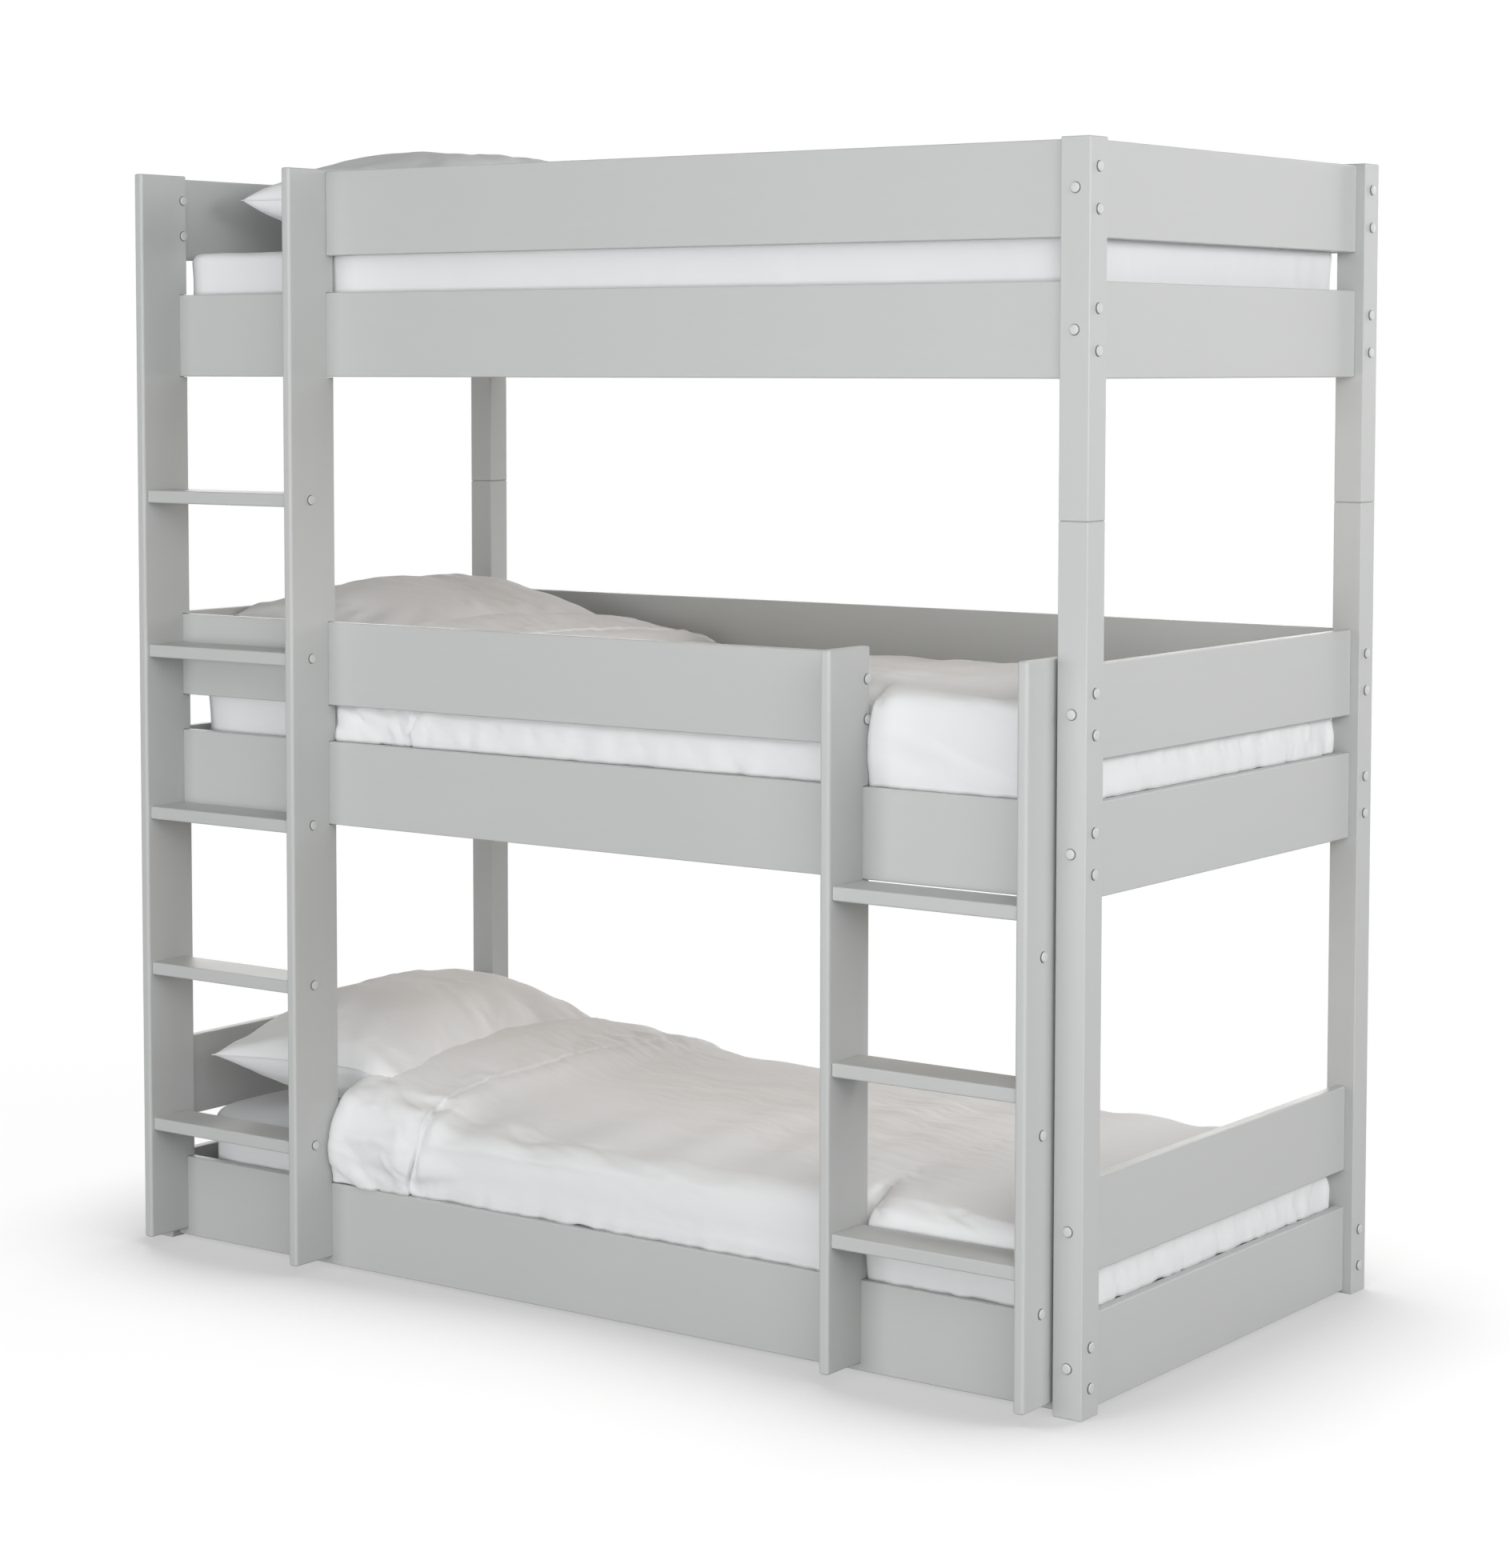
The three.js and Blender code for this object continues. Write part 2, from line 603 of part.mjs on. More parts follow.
function duvetForm(level, frontOpenings, rearOpenings) {
  const hem = railUnderside[level] + boardHeight + duvetHemClearance;
  const mattressRise = mattressTop[level] - hem;
  const endX = footBoardBack - duvetSideClearance;
  const startX = headBoardBack + duvetHeadEdgeFromHead;
  const length = endX - startX;
  const stationAt = (index) => {
    const share = index / duvetStations;
    return startX + length * (1 - Math.cos(share * Math.PI)) / 2;
  };
  const sectionAt = (x) => {
    const fromFoot = endX - x;
    const fromHead = x - startX;
    const footRise = roundedRise(fromFoot / duvetEndRoll, duvetBoxinessShare);
    const headRise = roundedRise(fromHead / duvetEndRoll, duvetBoxinessShare);
    const height = (mattressRise + duvetLoft(level, fromHead, length)) * footRise * headRise;
    const cornerRun = Math.max(duvetPlanRadius - fromFoot, 0);
    const cornerInset = duvetPlanRadius - Math.sqrt(duvetPlanRadius ** 2 - cornerRun ** 2);
    const halfWidth = innerDepth / 2 - duvetSideClearance - cornerInset;
    const bandFade = duvetTurnbackWidth - duvetTurnbackFade;
    const pastBand = THREE.MathUtils.smoothstep(fromHead, bandFade, duvetTurnbackWidth);
    const pastHold = Math.max(fromHead - duvetHeadHold, 0);
    const fall = duvetTurnbackFalls[level] * (1 - THREE.MathUtils.smoothstep(pastHold, 0, duvetLoftFade));
    const frontBulge = (duvetHemBulge + duvetBandBulge * (1 - pastBand)) * swellingAt(x, frontOpenings);
    const rearBulge = duvetHemBulge * swellingAt(x, rearOpenings);
    const boxiness = THREE.MathUtils.lerp(duvetBandBoxinessShare, duvetBoxinessShare, pastBand);
    const points = [];
    for (let step = 0; step <= duvetSectionSteps; step += 1) {
      const angle = (step / duvetSectionSteps) * Math.PI;
      const across = -Math.sign(Math.cos(angle)) * Math.abs(Math.cos(angle)) ** (2 / boxiness);
      const up = Math.abs(Math.sin(angle)) ** (2 / boxiness);
      const rearward = Math.max(across, 0);
      const lean = 1 - (1 - rearLoftShare) * rearward;
      const bulge = (across < 0 ? frontBulge : rearBulge) * bellyAt(up);
      const z = hem + (height * lean - fall * rearward ** 3) * up;
      points.push([x, innerMiddleY + across * (halfWidth + bulge), z]);
    }
    return points;
  };
  // The stations run from the foot end to the head edge, so that the faces point outwards
  const turn = duvetBulgeRun / duvetStations;
  const stations = [...frontOpenings, ...rearOpenings].flatMap(([start, end]) => {
    return [start, start + turn, end - turn, end];
  });
  for (let index = 1; index < duvetStations; index += 1) {
    stations.push(stationAt(index));
  }
  const inside = stations.filter((x) => x > startX && x < endX).sort((a, b) => b - a);
  return skinOver(inside.map(sectionAt), [endX, innerMiddleY, hem], [startX, innerMiddleY, hem]);
}

const clearOfStile = duvetSideClearance;
const headStileBack = tallFootStileOuter + clearOfStile;
const shortHeadOuter = shortHeadStile + stileThickness + clearOfStile;
const gapBetweenLadders = [headStileBack, shortHeadStile - clearOfStile];
const gapInShortLadder = [shortHeadOuter, shortFootStile - clearOfStile];
const openRear = [headPostInner + clearOfStile, footPostInner - clearOfStile];
const duvetOpenings = {
  middle: { front: [gapInShortLadder], rear: [] },
  bottom: { front: [gapBetweenLadders, gapInShortLadder], rear: [openRear] },
};
for (const [level, { front, rear }] of Object.entries(duvetOpenings)) {
  const pillow = pillowShares.find((place) => place.level === level);
  const form = duvetForm(level, front, rear);
  const draped = cut(form, mattressTool(level), placedPillow(pillow, softGap));
  addPiece(`duvet_${level}`, draped, cotton());
}

export default bed;
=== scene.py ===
import math

import bpy
import numpy as np
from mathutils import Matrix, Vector, noise


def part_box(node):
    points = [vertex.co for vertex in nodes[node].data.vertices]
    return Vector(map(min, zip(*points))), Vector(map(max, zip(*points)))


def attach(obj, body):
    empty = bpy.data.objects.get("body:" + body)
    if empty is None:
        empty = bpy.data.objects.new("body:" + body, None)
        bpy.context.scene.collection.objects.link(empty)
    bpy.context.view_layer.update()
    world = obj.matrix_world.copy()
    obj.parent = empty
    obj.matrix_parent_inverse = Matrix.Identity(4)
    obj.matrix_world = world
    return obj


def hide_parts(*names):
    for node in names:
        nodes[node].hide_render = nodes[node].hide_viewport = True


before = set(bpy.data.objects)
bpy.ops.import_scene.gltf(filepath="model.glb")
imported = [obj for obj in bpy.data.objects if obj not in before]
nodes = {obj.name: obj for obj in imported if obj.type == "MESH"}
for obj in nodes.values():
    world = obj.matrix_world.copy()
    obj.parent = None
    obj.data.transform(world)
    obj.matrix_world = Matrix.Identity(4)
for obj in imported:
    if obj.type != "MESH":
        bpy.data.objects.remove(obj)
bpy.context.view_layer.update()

scene = bpy.context.scene
levels = ("bottom", "middle", "top")

# Camera, solved from the photograph's perspective
camera_place = (3.6791, -5.0906, 1.6158)
camera_azimuth = 0.6378
camera_pitch = 0.0673
camera_lens = 81.28
camera_shift = (0.0442, -0.115)


def direction(azimuth, pitch):
    flat = math.cos(pitch)
    return Vector((-math.sin(azimuth) * flat, math.cos(azimuth) * flat, -math.sin(pitch)))


def add_camera():
    data = bpy.data.cameras.new("camera")
    data.lens = camera_lens
    data.sensor_width = 36
    data.shift_x, data.shift_y = camera_shift
    camera = bpy.data.objects.new("camera", data)
    scene.collection.objects.link(camera)
    camera.location = camera_place
    forward = direction(camera_azimuth, camera_pitch)
    camera.rotation_euler = forward.to_track_quat("-Z", "Y").to_euler()
    scene.camera = camera


def link(source, target):
    """Links two sockets of one node tree."""
    target.id_data.links.new(source, target)


# Lights: soft panels round the bed, of which the ones from the front, the right and the rear are
# the strongest. Each has a name, azimuth, elevation, size, watts, colour and height of its target.
panel_distance = 7
panels = (
    ("front", -0.06, 0.03, (5, 2.6), 232, (0.992, 0.997, 1), 0.80),
    ("front_right", 0.785, 0.33, (4, 3), 145, (1, 1, 1), 0.95),
    ("right", 1.571, 0.27, (4, 3), 200, (1, 1, 1), 0.95),
    ("rear", math.pi, 0.20, (6, 3.6), 300, (1, 0.99, 0.98), 0.95),
    ("rear_left", -2.2, 0.25, (4, 3), 110, (1, 1, 1), 0.95),
    ("above", 0.3, 0.87, (5, 4), 74, (1, 1, 1), 0.95),
)
world_strength = 0.03
white_rays = ("Is Camera Ray", "Is Glossy Ray", "Is Transmission Ray")


def add_panel(name, azimuth, elevation, size, power, colour, target_height):
    data = bpy.data.lights.new(name, "AREA")
    data.shape = "RECTANGLE"
    data.size, data.size_y = size
    data.energy = power
    data.color = colour
    light = bpy.data.objects.new(name, data)
    scene.collection.objects.link(light)
    away = -direction(azimuth, elevation)
    light.location = Vector((0, 0, target_height)) + away * panel_distance
    light.rotation_euler = (-away).to_track_quat("-Z", "Y").to_euler()


def white_mask(tree):
    """One for the rays that see a white background, and zero for those that light the object."""
    path = tree.nodes.new("ShaderNodeLightPath")
    result = path.outputs[white_rays[0]]
    for kind in white_rays[1:]:
        highest = tree.nodes.new("ShaderNodeMath")
        highest.operation = "MAXIMUM"
        link(result, highest.inputs[0])
        link(path.outputs[kind], highest.inputs[1])
        result = highest.outputs[0]
    return result


def add_world():
    world = bpy.data.worlds.new("studio")
    scene.world = world
    world.use_nodes = True
    tree = world.node_tree
    tree.nodes.clear()
    mix = tree.nodes.new("ShaderNodeMixShader")
    link(white_mask(tree), mix.inputs[0])
    for socket, strength in zip(mix.inputs[1:], (world_strength, 1)):
        background = tree.nodes.new("ShaderNodeBackground")
        background.inputs["Color"].default_value = (1, 1, 1, 1)
        background.inputs["Strength"].default_value = strength
        link(background.outputs[0], socket)
    out = tree.nodes.new("ShaderNodeOutputWorld")
    link(mix.outputs[0], out.inputs[0])


# Materials
mix_first, mix_second, mix_result = 6, 7, 2  # a Mix node's colour sockets
speckle = (0.3, 0.7)  # the range in which most of a noise lies


def new_material(name, kind="BsdfPrincipled"):
    material = bpy.data.materials.new(name)
    material.use_nodes = True
    tree = material.node_tree
    tree.nodes.clear()
    shader = tree.nodes.new("ShaderNode" + kind)
    out = tree.nodes.new("ShaderNodeOutputMaterial")
    link(shader.outputs[0], out.inputs[0])
    place = tree.nodes.new("ShaderNodeTexCoord").outputs["Object"]
    return material, tree, shader, place


def scaled(tree, place, scale, turn=(0, 0, 0)):
    mapping = tree.nodes.new("ShaderNodeMapping")
    mapping.inputs["Scale"].default_value = scale
    mapping.inputs["Rotation"].default_value = turn
    link(place, mapping.inputs["Vector"])
    return mapping.outputs[0]


def noise_node(tree, place, scale, detail=3, roughness=0.5, distortion=0):
    node = tree.nodes.new("ShaderNodeTexNoise")
    node.noise_type = "FBM"
    node.inputs["Scale"].default_value = scale
    node.inputs["Detail"].default_value = detail
    node.inputs["Roughness"].default_value = roughness
    node.inputs["Distortion"].default_value = distortion
    link(place, node.inputs["Vector"])
    return node.outputs[0]


def wave_node(tree, place, scale, distortion=0, detail=2, detail_scale=1):
    node = tree.nodes.new("ShaderNodeTexWave")
    node.inputs["Scale"].default_value = scale
    node.inputs["Distortion"].default_value = distortion
    node.inputs["Detail"].default_value = detail
    node.inputs["Detail Scale"].default_value = detail_scale
    link(place, node.inputs["Vector"])
    return node.outputs[1]


def mix_colours(tree, share, first, second):
    mix = tree.nodes.new("ShaderNodeMix")
    mix.data_type = "RGBA"
    link(share, mix.inputs[0])
    mix.inputs[mix_first].default_value = (*first, 1)
    mix.inputs[mix_second].default_value = (*second, 1)
    return mix.outputs[mix_result]


def multiplied(tree, first, second):
    mix = tree.nodes.new("ShaderNodeMix")
    mix.data_type = "RGBA"
    mix.blend_type = "MULTIPLY"
    mix.inputs[0].default_value = 1
    link(first, mix.inputs[mix_first])
    link(second, mix.inputs[mix_second])
    return mix.outputs[mix_result]


def remap(tree, value, low, high, to_low, to_high):
    node = tree.nodes.new("ShaderNodeMapRange")
    for socket, number in zip(node.inputs[1:5], (low, high, to_low, to_high)):
        socket.default_value = number
    link(value, node.inputs[0])
    return node.outputs[0]


def add_bumps(tree, shader, bumps):
    """Chains bumps: each is (height, strength, distance in metres)."""
    normal = None
    for height, strength, distance in bumps:
        bump = tree.nodes.new("ShaderNodeBump")
        bump.inputs["Strength"].default_value = strength
        bump.inputs["Distance"].default_value = distance
        link(height, bump.inputs["Height"])
        if normal:
            link(normal, bump.inputs["Normal"])
        normal = bump.outputs[0]
    link(normal, shader.inputs["Normal"])


def stretch_along(axis, along, across):
    return tuple(along if index == axis else across for index in range(3))


def paint_material(axis):
    """Satin paint over board, with its fibres along one axis."""
    material, tree, shader, place = new_material("satin_paint_" + "xyz"[axis])
    mottle = noise_node(tree, place, 2.2, 3)
    fibres = noise_node(tree, scaled(tree, place, stretch_along(axis, 5, 130)), 1, 4, 0.6)
    roller = noise_node(tree, place, 650, 2)
    shade = mix_colours(tree, mottle, (0.532, 0.545, 0.541), (0.562, 0.570, 0.562))
    veil = mix_colours(tree, fibres, (0.975, 0.975, 0.975), (1, 1, 1))
    link(multiplied(tree, shade, veil), shader.inputs["Base Color"])
    link(remap(tree, mottle, *speckle, 0.42, 0.52), shader.inputs["Roughness"])
    add_bumps(tree, shader, [(fibres, 0.12, 0.0004), (roller, 0.10, 0.0003)])
    return material


def cap_material(name, first, second):
    """Moulded plastic of the bolt caps, and the near-black rings round them that paint the shadow
    between cap and board.
    """
    material, tree, shader, place = new_material(name)
    mottle = noise_node(tree, place, 30, 2)
    fine = noise_node(tree, place, 900, 2)
    link(mix_colours(tree, mottle, first, second), shader.inputs["Base Color"])
    link(remap(tree, mottle, *speckle, 0.36, 0.46), shader.inputs["Roughness"])
    add_bumps(tree, shader, [(fine, 0.08, 0.0002)])
    return material


def timber_material():
    """Bare pine of the slats and dowels."""
    material, tree, shader, place = new_material("bare_pine")
    rings = wave_node(tree, scaled(tree, place, (6, 0.6, 9), (0.1, 0.05, 0.2)), 3.0, 5, 3, 1.4)
    fibres = noise_node(tree, scaled(tree, place, (160, 6, 160)), 1, 4, 0.6)
    shade = mix_colours(tree, rings, (0.66, 0.47, 0.27), (0.80, 0.63, 0.42))
    veil = mix_colours(tree, fibres, (0.86, 0.84, 0.82), (1, 1, 1))
    link(multiplied(tree, shade, veil), shader.inputs["Base Color"])
    link(remap(tree, fibres, *speckle, 0.55, 0.72), shader.inputs["Roughness"])
    add_bumps(tree, shader, [(rings, 0.15, 0.0005), (fibres, 0.2, 0.0004)])
    return material


def cloth_material(name, first, second, crease_strength):
    """Woven cotton: two crossed sets of threads, fuzz, and creases too fine for the mesh."""
    material, tree, shader, place = new_material(name)
    tone = noise_node(tree, place, 3.5, 3)
    threads = 260
    warp = wave_node(tree, scaled(tree, place, (1, 0, 1)), threads, 1.2, 1)
    weft = wave_node(tree, scaled(tree, place, (0, 1, 1), (0, 0, math.pi / 2)), threads, 1.2, 1)
    creases = noise_node(tree, scaled(tree, place, (7, 19, 16), (0.2, 0.1, 0.5)), 1, 4, 0.55, 0.6)
    crumple = noise_node(tree, scaled(tree, place, (34, 52, 46), (0.5, 0.3, 0.9)), 1, 3, 0.6, 0.4)
    fuzz = noise_node(tree, place, 1300, 2)
    link(mix_colours(tree, tone, first, second), shader.inputs["Base Color"])
    link(remap(tree, fuzz, *speckle, 0.82, 0.95), shader.inputs["Roughness"])
    shader.inputs["Sheen Weight"].default_value = 0.05
    shader.inputs["Sheen Roughness"].default_value = 0.5
    shader.inputs["Specular IOR Level"].default_value = 0.3
    bumps = [(creases, crease_strength, 0.012), (crumple, crease_strength * 0.6, 0.003)]
    bumps += [(warp, 0.10, 0.0002), (weft, 0.10, 0.0002), (fuzz, 0.12, 0.0002)]
    add_bumps(tree, shader, bumps)
    return material


def floor_material():
    """Pale for the light. For the camera it is white, but for a shadow close to the bed that is
    painted into its glow from ambient occlusion.
    """
    shares, strengths = (0.55, 0.955), (0.49, 0.90)  # openness and its glow: in the painted shadow by the bed, and in the open
    fade_start, fade_end = 1.1, 2.0
    material, tree, mix, place = new_material("pale_floor", "MixShader")
    tone = noise_node(tree, place, 1.5, 2)
    seen = tree.nodes.new("ShaderNodeBsdfDiffuse")
    seen.inputs["Color"].default_value = (0.16, 0.16, 0.16, 1)
    # Ambient occlusion dims the glow near the bed, which paints the contact shadow
    occlusion_for_painted_shadow = tree.nodes.new("ShaderNodeAmbientOcclusion")
    occlusion_for_painted_shadow.inputs["Distance"].default_value = 0.5
    occlusion_for_painted_shadow.samples = 16
    glow = tree.nodes.new("ShaderNodeEmission")
    glow_with_painted_shadow = remap(tree, occlusion_for_painted_shadow.outputs["AO"], *shares, *strengths)
    link(glow_with_painted_shadow, glow.inputs["Strength"])
    near = tree.nodes.new("ShaderNodeAddShader")
    far = tree.nodes.new("ShaderNodeEmission")
    far.inputs["Strength"].default_value = 1
    reach = tree.nodes.new("ShaderNodeVectorMath")
    reach.operation = "LENGTH"
    shown = tree.nodes.new("ShaderNodeMixShader")
    lit = tree.nodes.new("ShaderNodeBsdfDiffuse")
    pale = mix_colours(tree, tone, (0.44, 0.44, 0.44), (0.48, 0.48, 0.48))
    link(pale, lit.inputs["Color"])
    link(seen.outputs[0], near.inputs[0])
    link(glow.outputs[0], near.inputs[1])
    link(scaled(tree, place, (0.7, 1, 1)), reach.inputs[0])
    link(remap(tree, reach.outputs["Value"], fade_start, fade_end, 0, 1), shown.inputs[0])
    link(near.outputs[0], shown.inputs[1])
    link(far.outputs[0], shown.inputs[2])
    link(white_mask(tree), mix.inputs[0])
    link(lit.outputs[0], mix.inputs[1])
    link(shown.outputs[0], mix.inputs[2])
    return material


# Mesh helpers
def mesh_piece(name, points, faces, material):
    """A piece from points and faces, without the points that no face uses."""
    used = sorted({number for face in faces for number in face})
    renumber = {number: place for place, number in enumerate(used)}
    mesh = bpy.data.meshes.new(name)
    corners = [tuple(points[number]) for number in used]
    mesh.from_pydata(corners, [], [[renumber[number] for number in face] for face in faces])
    mesh.polygons.foreach_set("use_smooth", [True] * len(mesh.polygons))
    mesh.update()
    piece = bpy.data.objects.new(name, mesh)
    scene.collection.objects.link(piece)
    mesh.materials.append(material)
    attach(piece, "root")
    return piece


def number_grid(rows, columns):
    return np.arange(rows * columns).reshape(rows, columns)


def grid_faces(numbers, flip=False, wrap=False):
    """Faces over a grid of point numbers. A face with a shared corner gets three corners."""
    if wrap:
        numbers = np.hstack([numbers, numbers[:, :1]])
    near, far = numbers[:-1], numbers[1:]
    corners = np.stack([near[:, :-1], near[:, 1:], far[:, 1:], far[:, :-1]], axis=2)
    faces = [list(dict.fromkeys(face)) for face in corners.reshape(-1, 4).tolist()]
    return [face[::-1] if flip else face for face in faces if len(face) > 2]


def field(points, scale, seed, octaves=2):
    """Smooth noise between about -1 and 1 at each point."""
    offset = Vector((seed * 7.3, seed * 3.1, seed * 5.7))
    places = (Vector(point) + offset for point in points * np.asarray(scale, float))
    exponent, step, basis = 1.0, 2.0, "PERLIN_ORIGINAL"
    return np.array([noise.fractal(p, exponent, step, octaves, noise_basis=basis) for p in places])


def smooth_step(value, low, high):
    share = np.clip((value - low) / (high - low), 0, 1)
    return share * share * (3 - 2 * share)


def grid_normals(grid):
    """Unit normals of a grid of points, shape (rows, columns, 3)."""
    along = np.gradient(grid, axis=0)
    across = np.gradient(grid, axis=1)
    normal = np.cross(along, across)
    return normal / np.maximum(np.linalg.norm(normal, axis=2, keepdims=True), 1e-9)


def relaxed(grid, rounds):
    """The grid after rounds of averaging, its rim held."""
    result = grid.copy()
    for _ in range(rounds):
        inner = result.copy()
        inner[1:-1, 1:-1] = (
            result[:-2, 1:-1] + result[2:, 1:-1] + result[1:-1, :-2] + result[1:-1, 2:]
        ) / 4
        result = inner
    return result


def simulate(name, points, faces, frames, pressure, stiffness, bending, held=None, rest=None):
    """Cloth that swells, and buckles where it is cut larger than its form. Returns its points."""
    mesh = bpy.data.meshes.new(name)
    mesh.from_pydata([tuple(p) for p in points], [], faces)
    piece = bpy.data.objects.new(name, mesh)
    scene.collection.objects.link(piece)
    cloth = piece.modifiers.new("cloth", "CLOTH")
    settings = cloth.settings
    if rest is not None:
        piece.shape_key_add(name="form")
        cut = piece.shape_key_add(name="cut")
        cut.data.foreach_set("co", np.asarray(rest, float).ravel())
        settings.rest_shape_key = cut
    settings.quality = 5
    settings.mass = 0.25
    settings.tension_stiffness = settings.compression_stiffness = stiffness
    settings.shear_stiffness = stiffness * 0.6
    settings.bending_stiffness = bending
    settings.air_damping = 2.0
    settings.use_pressure = True
    settings.uniform_pressure_force = pressure
    settings.effector_weights.gravity = 0
    if held is not None:
        group = piece.vertex_groups.new(name="held")
        group.add([int(number) for number in held], 1.0, "REPLACE")
        settings.vertex_group_mass = "held"
    cloth.collision_settings.use_collision = False
    cloth.collision_settings.use_self_collision = False
    cloth.point_cache.frame_start = 1
    cloth.point_cache.frame_end = frames
    for step in range(1, frames + 1):
        scene.frame_set(step)
    evaluated = piece.evaluated_get(bpy.context.evaluated_depsgraph_get())
    flat = np.empty(len(points) * 3)
    evaluated.data.vertices.foreach_get("co", flat)
    bpy.data.objects.remove(piece)
    bpy.data.meshes.remove(mesh)
    scene.frame_set(1)
    return flat.reshape(-1, 3)


def capped(moves, limit):
    """Moves no longer than the limit."""
    length = np.linalg.norm(moves, axis=-1, keepdims=True)
    return moves * np.minimum(1, limit / np.maximum(length, 1e-9))


def subdivided(piece):
    modifier = piece.modifiers.new("subdivision", "SUBSURF")
    modifier.levels = modifier.render_levels = 1


# Places read from the frame, and sizes repeated from the part's source, in metres
rail_top = {level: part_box(f"rail_front_{level}")[1].z for level in levels}
guard_top = {level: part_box(f"guard_head_{level}")[1].z for level in levels}
mattress_boxes = {level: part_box(f"mattress_{level}") for level in levels}
inner_low = Vector((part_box("rail_head_top")[1].x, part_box("rail_front_top")[1].y, 0))
inner_high = Vector((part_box("rail_foot_top")[0].x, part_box("rail_rear_top")[0].y, 0))
middle_y = (inner_low.y + inner_high.y) / 2
board_height = 0.148
pillow_length, pillow_width, pillow_draw = 0.730, 0.440, 0.028
pillow_flange, pillow_flange_thickness = 0.0025, 0.0012
pillow_margin = 0.085  # sideways room of a pillow, either way from the middle
pillow_places = {
    "top": {"gap": 0.16, "across": 0.18, "pressed": 0.03, "turn": 2, "lean": 0, "seed": 3},
    "middle": {"gap": 0.045, "across": 0.58, "pressed": 0.15, "turn": -3, "lean": 13, "seed": 11},
    "bottom": {"gap": 0.105, "across": -0.86, "pressed": 0.005, "turn": 7, "lean": 0, "seed": 19},
}
pillow_thickness = {"top": 0.200, "middle": 0.200, "bottom": 0.228}
pillow_droop = {"top": 0.0, "middle": 0.0, "bottom": 0.020}
pillow_puffiness = {"top": 0.47, "middle": 0.47, "bottom": 0.60}
pillow_slack = {"top": 0.0, "middle": 0.0, "bottom": 0.026}
pillow_roundness = 2.8
pillow_count_s, pillow_count_t = 57, 85
crease_limit = 0.010


# Pillows
def pillow_grid(count_s, count_t):
    s = np.sin(np.linspace(-1, 1, count_s) * math.pi / 2)
    t = np.sin(np.linspace(-1, 1, count_t) * math.pi / 2)
    return np.meshgrid(s, t, indexing="ij")


def pillow_surface(level, s, t, side):
    """One side of a pillow, with a thin sewn flange round it. Side is 1 above and -1 below."""
    half_x, half_y = pillow_width / 2, (pillow_length - pillow_slack[level]) / 2
    x = half_x * s * (1 - pillow_draw / half_x * (1 - t**2))
    y = half_y * t * (1 - pillow_draw / half_y * (1 - s**2))
    inner_s = np.abs(s) / (1 - pillow_flange / half_x)
    inner_t = np.abs(t) / (1 - pillow_flange / half_y)
    power = pillow_puffiness[level]
    puff_s = (1 - inner_s**pillow_roundness).clip(0) ** power
    puff_t = (1 - inner_t**pillow_roundness).clip(0) ** power
    thickness = pillow_thickness[level] * (puff_s * puff_t) + pillow_flange_thickness
    droop = pillow_droop[level] * smooth_step(s, 0.3, 1.0)
    return np.stack([x, y, side * thickness / 2 - droop], axis=2)


def pillow_creases(s, t, seed):
    """Creases of a sewn pillow: two flat sheets joined at their rims, blown up as cloth."""
    rows, columns = s.shape
    cut_x, cut_y, first_rise, first_ripple = 0.56, 0.54, 0.012, 0.002
    flat_x = np.arcsin(s) / (math.pi / 2) * pillow_width * cut_x
    flat_y = np.arcsin(t) / (math.pi / 2) * pillow_length * cut_y
    rise = first_rise * np.cos(np.arcsin(s)) * np.cos(np.arcsin(t))
    upper = np.stack([flat_x, flat_y, rise], axis=2).reshape(-1, 3)
    upper[:, 2] += first_ripple * field(upper, (22, 22, 22), seed)
    inner = np.zeros((rows, columns), bool)
    inner[1:-1, 1:-1] = True
    upper_numbers = number_grid(rows, columns)
    lower_numbers = upper_numbers.copy()
    lower_numbers[inner] = np.arange(inner.sum()) + rows * columns
    lower = upper[inner.reshape(-1)] * (1, 1, -1)
    faces = grid_faces(upper_numbers) + grid_faces(lower_numbers, flip=True)
    points = np.vstack([upper, lower])
    moved = simulate(
        "pillow_cloth", points, faces, frames=26, pressure=5.0, stiffness=12.0, bending=0.15
    )
    top, under = moved[upper_numbers], moved[lower_numbers]
    smoothing = 40
    return top - relaxed(top, smoothing), under - relaxed(under, smoothing)


